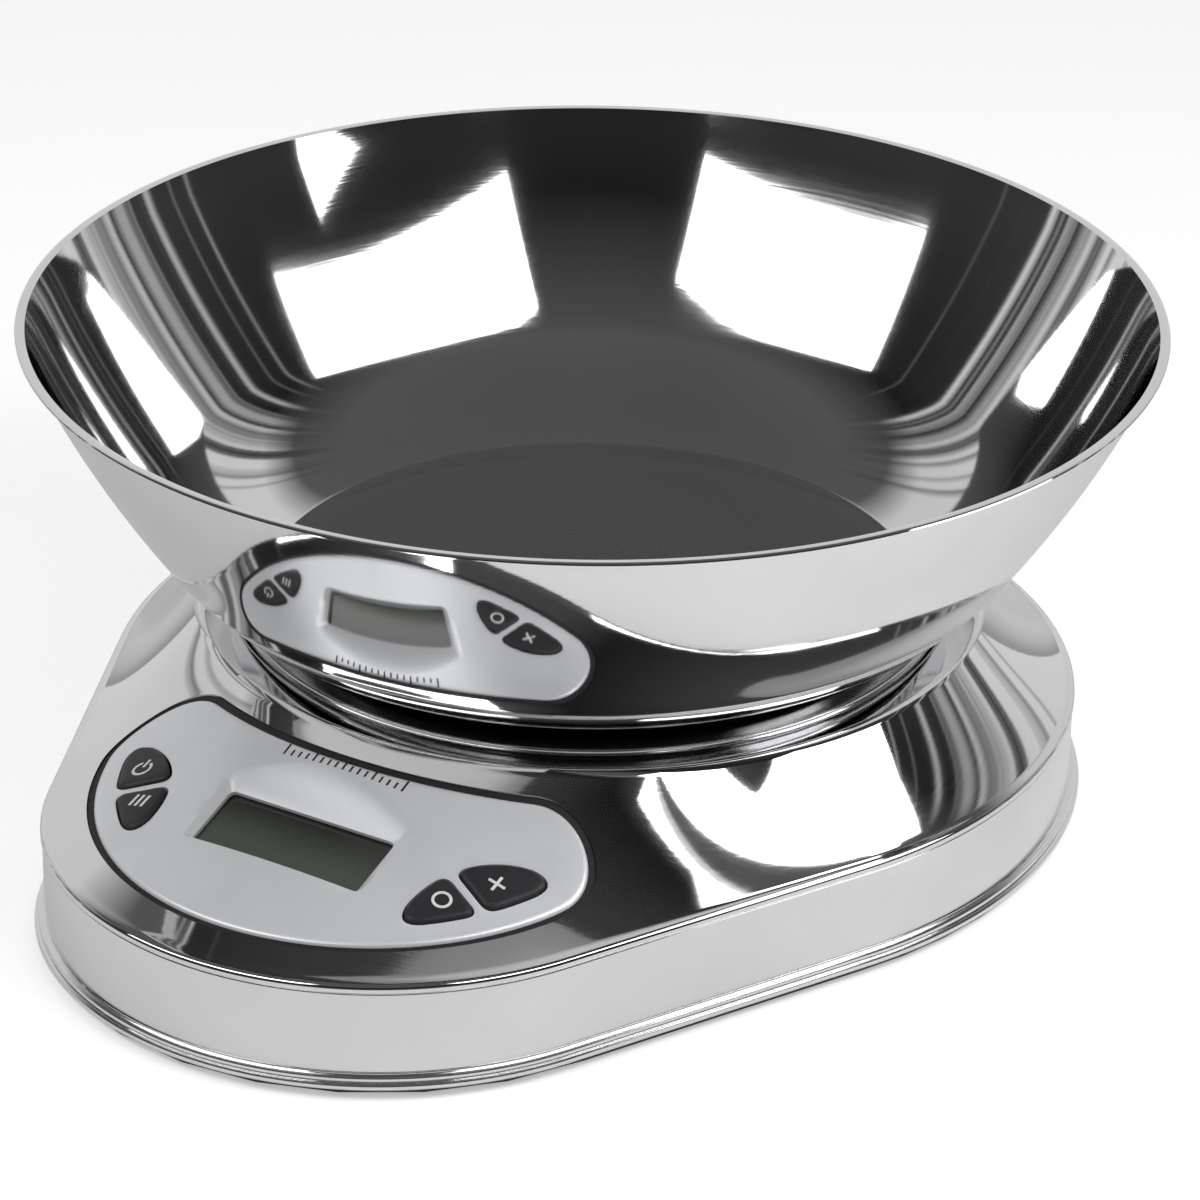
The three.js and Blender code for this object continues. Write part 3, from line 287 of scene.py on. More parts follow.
def polished_steel(name, bright, dull, rough_low, rough_high, ring_scale, ring_depth):
    material, tree, surface, place = new_material(name)
    rings, smudges = marks_on(tree, place, ring_scale)
    worn = maths(tree, "MULTIPLY", maths(tree, "ADD", rings, smudges), 0.5)
    tree.links.new(mixed(tree, smudges, bright, dull), surface.inputs["Base Color"])
    tree.links.new(ranged(tree, worn, rough_low, rough_high), surface.inputs["Roughness"])
    surface.inputs["Metallic"].default_value = 1.0
    bumped(tree, surface, rings, ring_depth)
    return material


bowl_steel = polished_steel(
    "bowl_steel", (0.82, 0.82, 0.825), (0.76, 0.76, 0.765), 0.03, 0.085, 1500.0, 0.012
)
bowl = turned("mixing_bowl", bowl_section(), 240, bowl_steel, axis_y)
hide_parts("bowl")
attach(bowl, "bowl")


# ---------------------------------------------------------------- platform
# The weighing platform is a shallow dish pressed from stainless sheet, with a raised seat for
# the bowl and a short skirt that hangs inside the collar. A black moulding under it takes the
# screws of the load cell; that moulding and its screws are the CAD nodes.

dish_low, dish_high = (Vector(corner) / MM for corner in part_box("platform_dish"))
dish_radius = (dish_high.x - dish_low.x) / 2
dish_sheet = 0.8
dish_round = 1.4
seat_rise = 0.7
seat_radius = foot_radius - 2
dish_top = dish_high.z - seat_rise


def dish_section():
    under = dish_top - dish_sheet
    across, up = dish_radius - dish_round, dish_top - dish_round
    turns = np.linspace(0, math.pi / 2, 9)
    outer = [(across + dish_round * math.sin(a), up + dish_round * math.cos(a)) for a in turns]
    seat = [(seat_radius - 0.9, dish_high.z), (seat_radius - 0.3, dish_high.z - 0.12)]
    seat += [(seat_radius + 0.4, dish_top + 0.1), (seat_radius + 1.0, dish_top)]
    inner_round = dish_round - dish_sheet
    turns = np.linspace(math.pi / 2, 0, 7)
    inner = [(across + inner_round * math.sin(a), up + inner_round * math.cos(a)) for a in turns]
    return [
        (0.0, dish_high.z),
        (seat_radius / 2, dish_high.z),
        *seat,
        *outer,
        (dish_radius, dish_low.z),
        (dish_radius - dish_sheet, dish_low.z),
        *inner,
        (seat_radius + 1.0, under),
        (seat_radius - 0.9, under + seat_rise),
        (0.0, under + seat_rise),
    ]


platform_steel = polished_steel(
    "platform_steel", (0.66, 0.66, 0.665), (0.58, 0.58, 0.585), 0.1, 0.2, 2200.0, 0.05
)
dish = turned("weighing_platform", dish_section(), 200, platform_steel, axis_y)
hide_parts("platform_dish")
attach(dish, "platform")


# ---------------------------------------------------------------- body shell
# The housing is one deep pressing of stainless sheet: a round rear and a smaller round nose
# joined by straight flanks, an upright wall over a double bead, and a slope that rises from
# the crisp shoulder to a flat ring round the platform. The display panel's opening is cut in.

shell_low, shell_high = (Vector(corner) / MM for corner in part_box("body_shell"))
bead_out = 2.2
rear_radius = (shell_high.x - shell_low.x) / 2 - bead_out
rear_centre = shell_high.y - axis_y - bead_out - rear_radius
front_radius = 70.0
front_centre = shell_low.y - axis_y + bead_out + front_radius
centre_spacing = rear_centre - front_centre
shoulder_z = 24.9
shoulder_round = 1.2
shell_sheet = 0.7
collar_ring = 6.8
collar_gap = 0.7
collar_inner = dish_radius + collar_gap
collar_radius = collar_inner + collar_ring
collar_z = shell_high.z
collar_turndown = 3.5
collar_round = 0.8
slope_flare = 0.3


def inset_from_wall(x, y):
    """How far a place lies inside the wall line: two arcs and the flanks between them."""
    lean = (rear_radius - front_radius) / centre_spacing
    rise = math.sqrt(1 - lean * lean)
    across = np.abs(x)
    along = rear_centre - y
    side = rise * along - lean * across
    rear = rear_radius - np.hypot(across, along)
    front = front_radius - np.hypot(across, along - centre_spacing)
    flank = rear_radius - (across * rise + along * lean)
    return np.where(side < 0, rear, np.where(side > rise * centre_spacing, front, flank))


def slope_level(x, y):
    to_shoulder = np.maximum(inset_from_wall(x, y) - shoulder_round, 0)
    to_collar = np.maximum(np.hypot(x, y) - collar_radius, 0)
    return to_shoulder / np.maximum(to_shoulder + to_collar, 1e-9)


def slope_height(x, y):
    level = slope_level(x, y)
    return shoulder_z + (collar_z - shoulder_z) * (
        (1 - slope_flare) * level + slope_flare * level * level
    )


shell_turns = 2 * math.pi * np.arange(384) / 384


def ring_where(field):
    """The points, one for each direction from the bowl's axis, where a falling field is zero."""
    near = np.zeros_like(shell_turns)
    far = np.full_like(shell_turns, 2 * (rear_radius + centre_spacing))
    for _ in range(44):
        middle = (near + far) / 2
        inside = field(middle * np.cos(shell_turns), middle * np.sin(shell_turns)) > 0
        near = np.where(inside, middle, near)
        far = np.where(inside, far, middle)
    return near * np.cos(shell_turns), near * np.sin(shell_turns)


def wall_ring(offset, z):
    x, y = ring_where(lambda px, py: inset_from_wall(px, py) + offset)
    return np.stack([x, y + axis_y, np.full_like(x, z)], 1)


def slope_ring(level, drop=0.0):
    x, y = ring_where(lambda px, py: slope_level(px, py) - level)
    return np.stack([x, y + axis_y, slope_height(x, y) - drop], 1)


def round_ring(radius, z):
    x, y = radius * np.cos(shell_turns), radius * np.sin(shell_turns)
    return np.stack([x, y + axis_y, np.full_like(x, z)], 1)


def between(a, b, count):
    """The faces between two closed rings of points, given the first point of each."""
    return [(a + i, a + (i + 1) % count, b + (i + 1) % count, b + i) for i in range(count)]


def banded(name, rings, material):
    """Closed rings, in order round the section, as one closed skin."""
    count = len(rings[0])
    faces = []
    for j in range(len(rings)):
        faces += between(j * count, (j + 1) % len(rings) * count, count)
    return piece_from(name, np.concatenate(rings), faces, material)


def shell_rings():
    foot_z = shell_low.z
    bead = [(1.55, 0.0), (1.95, 0.08), (2.16, 0.35), (2.2, 0.7), (2.08, 1.05), (1.75, 1.28)]
    bead += [(1.2, 1.34), (0.85, 1.4), (0.85, 1.52), (1.1, 1.6), (1.38, 1.8), (1.42, 2.1)]
    bead += [(1.3, 2.4), (0.95, 2.62), (0.5, 2.7), (-0.1, 2.74), (-0.25, 2.84), (-0.1, 2.95)]
    bead += [(0.0, 3.1)]
    outside = [wall_ring(offset, foot_z + rise) for offset, rise in bead]
    outside += [wall_ring(0.0, z) for z in np.linspace(foot_z + 6, shoulder_z - 2.6, 4)]
    roll = [(-0.02, 2.3), (-0.32, 2.2), (-0.32, 2.0), (0.1, 1.88), (0.27, 1.6), (0.34, 1.2)]
    roll += [(0.27, 0.8), (0.08, 0.45), (-0.25, 0.18), (-0.75, 0.02)]
    outside += [wall_ring(offset, shoulder_z - drop) for offset, drop in roll]
    outside += [slope_ring(level) for level in np.linspace(0.012, 0.975, 44)]
    crest = [(0.35, -0.12), (-0.2, 0.0), (-0.9, 0.0)]
    outside += [round_ring(collar_radius + out, collar_z + up) for out, up in crest]
    outside += [round_ring(r, collar_z) for r in np.linspace(collar_radius - 2, collar_inner + 0.9, 4)]
    for a in np.linspace(0, math.pi / 2, 6)[1:]:
        radius = collar_inner + collar_round - collar_round * math.sin(a)
        outside.append(round_ring(radius, collar_z - collar_round + collar_round * math.cos(a)))
    outside.append(round_ring(collar_inner, collar_z - collar_turndown))
    inside = [round_ring(collar_inner + shell_sheet, collar_z - collar_turndown)]
    inside += [round_ring(collar_inner + shell_sheet + 0.3, collar_z - shell_sheet)]
    inside += [round_ring(collar_radius - 0.3, collar_z - shell_sheet)]
    inside += [slope_ring(level, 1.15 * shell_sheet) for level in np.linspace(0.94, 0.02, 16)]
    inside += [wall_ring(-shell_sheet, shoulder_z - 2.9), wall_ring(-shell_sheet, foot_z + 2.5)]
    inside += [wall_ring(-0.1, foot_z + 1.9), wall_ring(0.3, foot_z + 1.0), wall_ring(0.3, foot_z)]
    return outside + inside


fascia_corner = 12.5
fascia_groove = 1.5
fascia_front_margin = 10.7
fascia_rear_margin = 6.8
lower_radius = front_radius - fascia_front_margin
upper_radius = collar_radius + fascia_rear_margin


def arc(x, y, radius, start, end, steps):
    turns = np.linspace(start, end, steps + 1)
    return [(x + radius * math.cos(t), y + radius * math.sin(t)) for t in turns]


def crescent(offset):
    """The panel's outline: one arc about the nose, one about the bowl, and round ends."""
    to_lower = lower_radius - fascia_corner
    to_upper = upper_radius + fascia_corner
    y = (to_upper**2 - to_lower**2 + front_centre**2) / (2 * front_centre)
    x = math.sqrt(to_upper**2 - y**2)
    lower_end = math.atan2(y - front_centre, x)
    upper_end = math.atan2(-y, -x)
    corner = fascia_corner + offset
    steps = (72, 26, 44, 26)
    return (
        arc(0, front_centre, lower_radius + offset, -math.pi - lower_end, lower_end, steps[0])
        + arc(x, y, corner, lower_end, upper_end, steps[1])[1:]
        + arc(0, 0, upper_radius - offset, upper_end - math.pi, -upper_end, steps[2])[1:]
        + arc(-x, y, corner, math.pi - upper_end, math.pi - lower_end, steps[3])[1:-1]
    )


def prism(name, outline, low, high, material):
    count = len(outline)
    vertices = [(x, y + axis_y, z) for z in (low, high) for x, y in outline]
    faces = [tuple(reversed(range(count))), tuple(range(count, 2 * count))]
    faces += between(0, count, count)
    return piece_from(name, vertices, faces, material)


def cut_by(piece, tool):
    modifier = piece.modifiers.new("cut", "BOOLEAN")
    modifier.operation = "DIFFERENCE"
    modifier.solver = "EXACT"
    modifier.object = tool
    baked(piece)
    bpy.data.objects.remove(tool)
    return piece


def shell_steel_material():
    material, tree, surface, place = new_material("shell_steel")
    rings, smudges = marks_on(tree, place, 1200.0)
    height = node(tree, "ShaderNodeSeparateXYZ", {0: place}).outputs[2]
    bead_top = (shell_low.z + 3.2) * MM
    on_wall = node(tree, "ShaderNodeMapRange", {0: height, 1: bead_top, 2: bead_top + 0.0002}).outputs[0]
    off_top = node(
        tree,
        "ShaderNodeMapRange",
        {0: height, 1: (shoulder_z - 2.4) * MM, 2: (shoulder_z - 2.2) * MM, 3: 1.0, 4: 0.0},
    ).outputs[0]
    satin = maths(tree, "MULTIPLY", on_wall, off_top)
    tree.links.new(mixed(tree, smudges, (0.8, 0.8, 0.81), (0.73, 0.73, 0.74)), surface.inputs["Base Color"])
    polish = ranged(tree, maths(tree, "MULTIPLY", smudges, rings), 0.035, 0.11)
    roughness = maths(tree, "ADD", polish, maths(tree, "MULTIPLY", satin, 0.17))
    tree.links.new(roughness, surface.inputs["Roughness"])
    surface.inputs["Metallic"].default_value = 1.0
    bumped(tree, surface, rings, 0.012)
    return material


shell_steel = shell_steel_material()
shell = banded("housing_shell", shell_rings(), shell_steel)
opening = prism("panel_opening", crescent(fascia_groove), shell_low.z + 4, collar_z + 20, shell_steel)
closed_and_smooth(cut_by(closed_and_smooth(shell), opening), 30)
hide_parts("body_shell")
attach(shell, "housing")


# ---------------------------------------------------------------- panel seal
# A strip of near-black rubber lies in the groove between the steel and the display panel. Only
# its rib shows, as the dark line round the panel, so the rib stops just below the steel. The
# seal is a real part, but its black is painted shade, standing in for the shadow in the gap.


def moulded_group():
    """The fine grain of a moulded surface, and dust that lies on it."""
    tree, start, end = new_group(
        "moulded_grain",
        "ShaderNodeTree",
        [("Vector", "NodeSocketVector", None), ("Grain Scale", "NodeSocketFloat", 2500.0)],
        [("Grain", "NodeSocketFloat"), ("Dust", "NodeSocketFloat")],
    )
    grain = node(tree, "ShaderNodeTexNoise", {"Vector": start["Vector"], "Detail": 2.0})
    tree.links.new(start["Grain Scale"], grain.inputs["Scale"])
    dust = node(tree, "ShaderNodeTexNoise", {"Vector": start["Vector"], "Scale": 60.0, "Detail": 6.0})
    spread = node(tree, "ShaderNodeMapRange", {0: dust.outputs[0], 1: 0.5, 2: 0.85}).outputs[0]
    tree.links.new(grain.outputs[0], end["Grain"])
    tree.links.new(spread, end["Dust"])
    return tree


moulded_grain = moulded_group()


def moulded(name, colour, dusty, rough_low, rough_high, grain_scale=2500.0, depth=0.06, metallic=0.0):
    material, tree, surface, place = new_material(name)
    sizes = {"Vector": place, "Grain Scale": grain_scale}
    fine, dust = node(tree, "ShaderNodeGroup", sizes, node_tree=moulded_grain).outputs
    tree.links.new(mixed(tree, dust, colour, dusty), surface.inputs["Base Color"])
    tree.links.new(ranged(tree, fine, rough_low, rough_high), surface.inputs["Roughness"])
    surface.inputs["Metallic"].default_value = metallic
    bumped(tree, surface, fine, depth)
    return material


# painted shade: the rib's near-black rubber stands in for the shadow in the groove round the panel
seal_rubber = moulded("seal_rubber", (0.009, 0.009, 0.01), (0.02, 0.02, 0.021), 0.5, 0.75)


def surface_strip(name, outer, inner, rise, depth, material):
    """A closed strip between two outlines of the panel's shape, that follows the slope."""
    rings = []
    for outline, lift in ((outer, rise - depth), (outer, rise), (inner, rise), (inner, rise - depth)):
        x, y = np.array(outline).T
        rings.append(np.stack([x, y + axis_y, slope_height(x, y) + lift], 1))
    return banded(name, rings, material)


seal = surface_strip("panel_seal", crescent(fascia_groove - 0.1), crescent(0.1), -0.35, 1.2, seal_rubber)
closed_and_smooth(seal)
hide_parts("panel_gasket")
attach(seal, "housing")


# ---------------------------------------------------------------- display panel
# The panel is one moulding in satin silver plastic that follows the slope and stands slightly
# proud of it. Its display recess has a broad bevel behind and at the sides and almost none in
# front. Four leaf-shaped holes take the keys. It snaps into the steel over the rubber seal.

panel_proud = 0.4
panel_depth = 1.9
window_width, window_height = 40.0, 15.2
window_sink = 2.0
window_shift = 3.55  # to the rear of the panel's middle
window_y = (front_centre - lower_radius - upper_radius) / 2 + window_shift
window_z = float(slope_height(0.0, window_y)) - window_sink
panel_tilt = math.atan2(
    float(slope_height(0.0, window_y + 1) - slope_height(0.0, window_y - 1)), 2.0
)
panel_frame = Matrix.Translation((0, window_y, window_z)) @ Matrix.Rotation(panel_tilt, 4, "X")
bevel_rise = 2.3
bevel_rear, bevel_front, bevel_side_rear, bevel_side_front = 9.9, 0.6, 6.5, 2.6
window_corner = 1.5
panel_edge = [(0, 0.85), (0.12, 0.5), (0.35, 0.24), (0.7, 0.07), (1.2, 0.0)]  # inset, dip


def rounded_corners(corners, radius):
    """A loop through straight sides, each corner an arc-like bend with its share round."""
    loop = []
    for i, corner in enumerate(corners):
        before = (Vector(corners[i - 1]) - Vector(corner)).normalized()
        after = (Vector(corners[(i + 1) % len(corners)]) - Vector(corner)).normalized()
        start = Vector(corner) + before * radius
        end = Vector(corner) + after * radius
        for t in np.linspace(0, 1, 6):
            a = start.lerp(Vector(corner), t)
            b = Vector(corner).lerp(end, t)
            loop.append(a.lerp(b, t))
    return loop


def filled_in(loop, longest):
    """A loop with extra points where its sides are long."""
    points = []
    for i, point in enumerate(loop):
        following = loop[(i + 1) % len(loop)]
        count = max(1, math.ceil((following - point).length / longest))
        points += [point.lerp(following, k / count) for k in range(count)]
    return points


def recess_loops():
    """The recess's sides: the window's edge, and where each side meets the panel's face."""
    half_width, half_height = window_width / 2, window_height / 2
    low = [(-half_width, -half_height), (half_width, -half_height), (half_width, half_height)]
    low.append((-half_width, half_height))
    spread_x = [-bevel_side_front, bevel_side_front, bevel_side_rear, -bevel_side_rear]
    spread_y = [-bevel_front, -bevel_front, bevel_rear, bevel_rear]
    high = [(x + dx, y + dy) for (x, y), dx, dy in zip(low, spread_x, spread_y)]
    near = filled_in([Vector((*p, 0)) for p in rounded_corners(low, window_corner)], 1.5)
    far = []
    for point in near:
        # the same place on the wider outline: each side keeps its share of the way
        s = (point.x + half_width) / window_width
        t = (point.y + half_height) / window_height
        front = Vector(high[0]).lerp(Vector(high[1]), s)
        rear = Vector(high[3]).lerp(Vector(high[2]), s)
        far.append(Vector((*front.lerp(rear, t), bevel_rise)))
    met = []
    for start, end in zip(near, far):
        share = 1.0
        for _ in range(12):
            place = panel_frame @ start.lerp(end, share)
            face = float(slope_height(place.x, place.y)) + panel_proud
            gap = (face - place.z) * math.cos(panel_tilt)
            share += gap / bevel_rise
        met.append(panel_frame @ start.lerp(end, share))
    return [panel_frame @ p for p in near], met


key_margin = 4.8
key_radius = lower_radius - key_margin
key_inner_radius = 22.0
well_wall = 1.5
well_reach = window_width / 2 + bevel_side_rear + well_wall
well_gap = 4.4
key_from = -math.acos((well_reach + well_gap) / key_radius)
key_to = math.radians(-17)
key_split = 2.4
key_corner = 2.2
key_tip = 5.5
key_clearance = 0.4


def rounded_loop(sides, rounds):
    """Curved sides as a closed loop of points, with the corner after each side rounded."""
    trimmed = []
    for k, side in enumerate(sides):
        points = np.array(side)
        lengths = np.concatenate([[0], np.cumsum(np.hypot(*np.diff(points, axis=0).T))])
        first, last = (min(r, 0.45 * lengths[-1]) for r in (rounds[k - 1], rounds[k]))
        at = np.linspace(first, lengths[-1] - last, 13)
        trimmed.append(np.stack([np.interp(at, lengths, points[:, k]) for k in (0, 1)], 1))
    loop = []
    for i, side in enumerate(trimmed):
        loop += [Vector(p) for p in side]
        corner = Vector(sides[i][-1])
        following = Vector(trimmed[(i + 1) % len(trimmed)][0])
        for t in np.linspace(0, 1, 9)[1:-1]:
            a = Vector(side[-1]).lerp(corner, t)
            b = corner.lerp(following, t)
            loop.append(a.lerp(b, t))
    return loop


def key_loops():
    """The upper and lower key on the right: one leaf between two arcs, split across."""
    middle = (key_from + key_to) / 2
    half_angle = (key_to - key_from) / 2
    half_chord = key_radius * math.sin(half_angle)
    inward = key_radius * math.cos(half_angle) + math.sqrt(key_inner_radius**2 - half_chord**2)
    hub = (inward * math.cos(middle), front_centre + inward * math.sin(middle))
    swing = math.asin(half_chord / key_inner_radius)
    skew = key_split / key_inner_radius
    outer_gap = key_split / 2 / key_radius
    inner_gap = key_split / 2 / key_inner_radius

    def outer(a, b):
        return arc(0, front_centre, key_radius, a, b, 24)

    def inner(a, b):
        return arc(*hub, key_inner_radius, middle + math.pi + a, middle + math.pi + b, 24)

    upper_outer, upper_inner = outer(middle + outer_gap, key_to), inner(-swing, skew - inner_gap)
    lower_outer, lower_inner = outer(key_from, middle - outer_gap), inner(skew + inner_gap, swing)
    upper = [upper_outer, upper_inner, [upper_inner[-1], upper_outer[0]]]
    lower = [lower_outer, [lower_outer[-1], lower_inner[0]], lower_inner]
    return (
        rounded_loop(upper, [key_tip, key_corner, key_corner]),
        rounded_loop(lower, [key_corner, key_corner, key_tip]),
    )


def grown(loop, distance):
    out = []
    for i, point in enumerate(loop):
        along = (loop[(i + 1) % len(loop)] - loop[i - 1]).normalized()
        out.append(point + Vector((along.y, -along.x)) * distance)
    return out


def mirrored(loop):
    return [Vector((-p.x, p.y)) for p in reversed(loop)]


right_upper, right_lower = key_loops()
key_outlines = {
    "key_left_upper": mirrored(right_upper),
    "key_left_lower": mirrored(right_lower),
    "key_right_lower": right_lower,
    "key_right_upper": right_upper,
}


def inside_loop(points, loop):
    ring = np.array([(p[0], p[1]) for p in loop])
    following = np.roll(ring, -1, axis=0)
    x, y = points[:, :1], points[:, 1:]
    crosses = (ring[:, 1] > y) != (following[:, 1] > y)
    rise = following[:, 1] - ring[:, 1]
    rise = np.where(np.abs(rise) < 1e-12, 1e-12, rise)
    left = x < (following[:, 0] - ring[:, 0]) * (y - ring[:, 1]) / rise + ring[:, 0]
    return (crosses & left).sum(1) % 2 == 1


def clear_of(points, loop, gap):
    ring = np.array([(p[0], p[1]) for p in loop])
    return np.min(np.hypot(*(points[:, None, :] - ring[None]).transpose(2, 0, 1)), axis=1) > gap


def panel_mesh(material):
    rims = [[Vector(p) for p in crescent(-inset)] for inset, _ in panel_edge]
    outline, rim = rims[0], rims[-1]
    holes = [grown(loop, key_clearance) for loop in key_outlines.values()]
    window_edge, recess_edge = recess_loops()
    recess = [Vector((p.x, p.y)) for p in recess_edge]
    spacing = 1.3
    half_span, rear_end = 60, -50
    rim_clear, hole_clear = 0.8, 0.7
    xs = np.arange(-half_span, half_span, spacing)
    ys = np.arange(front_centre - lower_radius, rear_end, spacing)
    grid = np.stack(np.meshgrid(xs, ys), -1).reshape(-1, 2)
    keep = inside_loop(grid, rim) & clear_of(grid, rim, rim_clear)
    for hole in [*holes, recess]:
        keep &= ~inside_loop(grid, hole) & clear_of(grid, hole, hole_clear)
    loops = [*rims, *holes, recess]
    points, edges = [], []
    for loop in loops:
        first = len(points)
        points += loop
        edges += [(first + i, first + (i + 1) % len(loop)) for i in range(len(loop))]
    points += [Vector(p) for p in grid[keep]]
    flat, _, faces, *_ = delaunay_2d_cdt(points, edges, [], 0, 1e-5)
    centres = np.array([np.mean([tuple(flat[i]) for i in f], axis=0) for f in faces])
    wanted = inside_loop(centres, outline)
    for hole in [*holes, recess]:
        wanted &= ~inside_loop(centres, hole)
    dips = {}
    for ring, (_, dip) in zip(rims, panel_edge):
        dips.update({tuple(round(c, 4) for c in p): dip for p in ring})
    vertices = []
    for p in flat:
        dip = dips.get(tuple(round(c, 4) for c in p), 0.0)
        z = float(slope_height(p.x, p.y)) + panel_proud - dip
        vertices.append((p.x, p.y + axis_y, z))
    kept = [tuple(f) for f, use in zip(faces, wanted) if use]
    shelf = -0.9  # the window lies under a thin ledge
    down = panel_frame.to_3x3() @ Vector((0, 0, shelf))
    count = len(window_edge)
    first = len(vertices)
    vertices += [(p.x, p.y + axis_y, p.z) for p in recess_edge + window_edge]
    vertices += [(p.x + down.x, p.y + down.y + axis_y, p.z + down.z) for p in window_edge]
    for step in (0, 1):
        kept += between(first + step * count, first + (step + 1) * count, count)
    piece = piece_from("display_panel", vertices, kept, material)
    mesh = bmesh.new()
    mesh.from_mesh(piece.data)
    bmesh.ops.remove_doubles(mesh, verts=mesh.verts, dist=2e-6)
    loose = [v for v in mesh.verts if not v.link_faces]
    bmesh.ops.delete(mesh, geom=loose, context="VERTS")
    bmesh.ops.recalc_face_normals(mesh, faces=mesh.faces)
    top = max(mesh.faces, key=lambda f: f.calc_center_median().z)
    if top.normal.z < 0:
        bmesh.ops.reverse_faces(mesh, faces=mesh.faces)
    mesh.to_mesh(piece.data)
    mesh.free()
    return piece


panel_silver = moulded(
    "panel_silver", (0.76, 0.77, 0.79), (0.7, 0.71, 0.73), 0.3, 0.42, 5000.0, 0.03, 0.35
)
panel = panel_mesh(panel_silver)
wall = panel.modifiers.new("wall", "SOLIDIFY")
wall.thickness = panel_depth * MM
wall.offset = -1
edge = panel.modifiers.new("edge", "BEVEL")
edge.width = 0.26 * MM
edge.segments = 3
edge.angle_limit = math.radians(48)
baked(panel)
closed_and_smooth(panel, 38, recalculate=False)
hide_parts("control_panel")
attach(panel, "housing")


# ---------------------------------------------------------------- panel scale marks
# A short row of fine dark strokes is printed above the window, as a plain graduation. The ink
# is a few hundredths of a millimetre thick and follows the panel's face.

mark_ink = moulded("mark_ink", (0.02, 0.02, 0.022), (0.03, 0.03, 0.03), 0.45, 0.6, 3000.0, 0.02)


def printed(name, outlines, height_at, thickness, material):
    """Flat printed shapes on a face: each outline a small closed plate that follows it."""
    vertices, faces = [], []
    sunk = 0.05
    for outline in outlines:
        first, count = len(vertices), len(outline)
        vertices += [(x, y + axis_y, height_at(x, y) - sunk) for x, y in outline]
        vertices += [(x, y + axis_y, height_at(x, y) + thickness) for x, y in outline]
        faces.append(tuple(first + i for i in reversed(range(count))))
        faces.append(tuple(first + count + i for i in range(count)))
        faces += between(first, first + count, count)
    return closed_and_smooth(piece_from(name, vertices, faces, material))


def stroke(x, y, width, length):
    a, b = width / 2, length / 2
    return [(x - a, y - b), (x + a, y - b), (x + a, y + b), (x - a, y + b)]


def on_panel(x, y):
    return float(slope_height(x, y)) + panel_proud


mark_gap, mark_pitch, mark_width = 1.2, 1.8, 0.48
long_mark, short_mark = 2.7, 1.5
mark_row = window_y + window_height / 2 + bevel_rear + mark_gap
strokes = []
for i in range(-8, 9):
    length = long_mark if i % 4 == 0 else short_mark
    strokes.append(stroke(mark_pitch * i, mark_row - (long_mark - length) / 2, mark_width, length))
marks = printed("panel_graduation", strokes, on_panel, 0.03, mark_ink)
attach(marks, "housing")


# ---------------------------------------------------------------- display
# The window is a clear acrylic plate under the panel's ledge. The liquid crystal cell behind
# it is switched off, so it shows as a dark grey-green. The window's colour carries painted
# shade: darker towards the rear, where the ledge's shadow falls. The cell, its holder and the
# two rubber contact strips are the CAD nodes.


def display_material():
    material, tree, surface, place = new_material("display_window")
    cloud = node(tree, "ShaderNodeTexNoise", {"Vector": place, "Scale": 45.0, "Detail": 3.0})
    # painted shade: the window's colour is darkest at its rear edge and lightens over 11 mm forward, standing
    # in for the ledge's shadow; cloud noise adds uneven tone
    rear = (axis_y + window_y + window_height / 2) * MM
    y = node(tree, "ShaderNodeSeparateXYZ", {0: place}).outputs[1]
    painted_ledge_shade = node(tree, "ShaderNodeMapRange", {0: y, 1: rear, 2: rear - 0.011}).outputs[0]
    cloud_and_ledge_shade = maths(tree, "MULTIPLY_ADD", cloud.outputs[0], 0.3, painted_ledge_shade)
    shade = mixed(tree, cloud_and_ledge_shade, (0.014, 0.015, 0.013), (0.085, 0.092, 0.078))
    tree.links.new(shade, surface.inputs["Base Color"])
    tree.links.new(ranged(tree, cloud.outputs[0], 0.08, 0.14), surface.inputs["Roughness"])
    surface.inputs["Specular IOR Level"].default_value = 0.4
    return material


def dress(names, material):
    for name in names:
        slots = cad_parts[name].data.materials
        slots.clear()
        slots.append(material)


dress(["lcd_window"], display_material())
cell_glass = moulded("display_cell", (0.16, 0.18, 0.14), (0.2, 0.22, 0.18), 0.1, 0.2, 900.0, 0.01)
dress(["lcd_module"], cell_glass)


# ---------------------------------------------------------------- keys
# Four soft black keys in two pairs, each pair a leaf split across the middle. Each is moulded
# with a rounded edge and a low crown, stands a little proud of the panel and sinks straight
# down when pressed. Plain white symbols are printed on them.

key_proud = 1.3
key_crown = 0.12
crown_reach = 3.2
crown_base = 0.15
symbol_line = 0.6
key_rubber = moulded("key_rubber", (0.014, 0.015, 0.017), (0.03, 0.031, 0.033), 0.42, 0.6, 3500.0, 0.1)
white_ink = moulded("white_ink", (0.72, 0.72, 0.72), (0.6, 0.6, 0.6), 0.5, 0.65, 3000.0, 0.02)


def key_height(loop, x, y):
    """The crown's height at a place: full in the middle, rounded down at the edge."""
    ring = np.array([tuple(p) for p in loop])
    to_edge = float(np.min(np.hypot(ring[:, 0] - x, ring[:, 1] - y)))
    round_edge = 1.1
    share = min(to_edge / round_edge, 1.0)
    crown = key_crown * min(to_edge / crown_reach, 1.0)
    edge_drop = round_edge * (1 - math.sqrt(max(0.0, 1 - (1 - share) ** 2)))
    return float(slope_height(x, y)) + key_proud - crown_base + crown - edge_drop


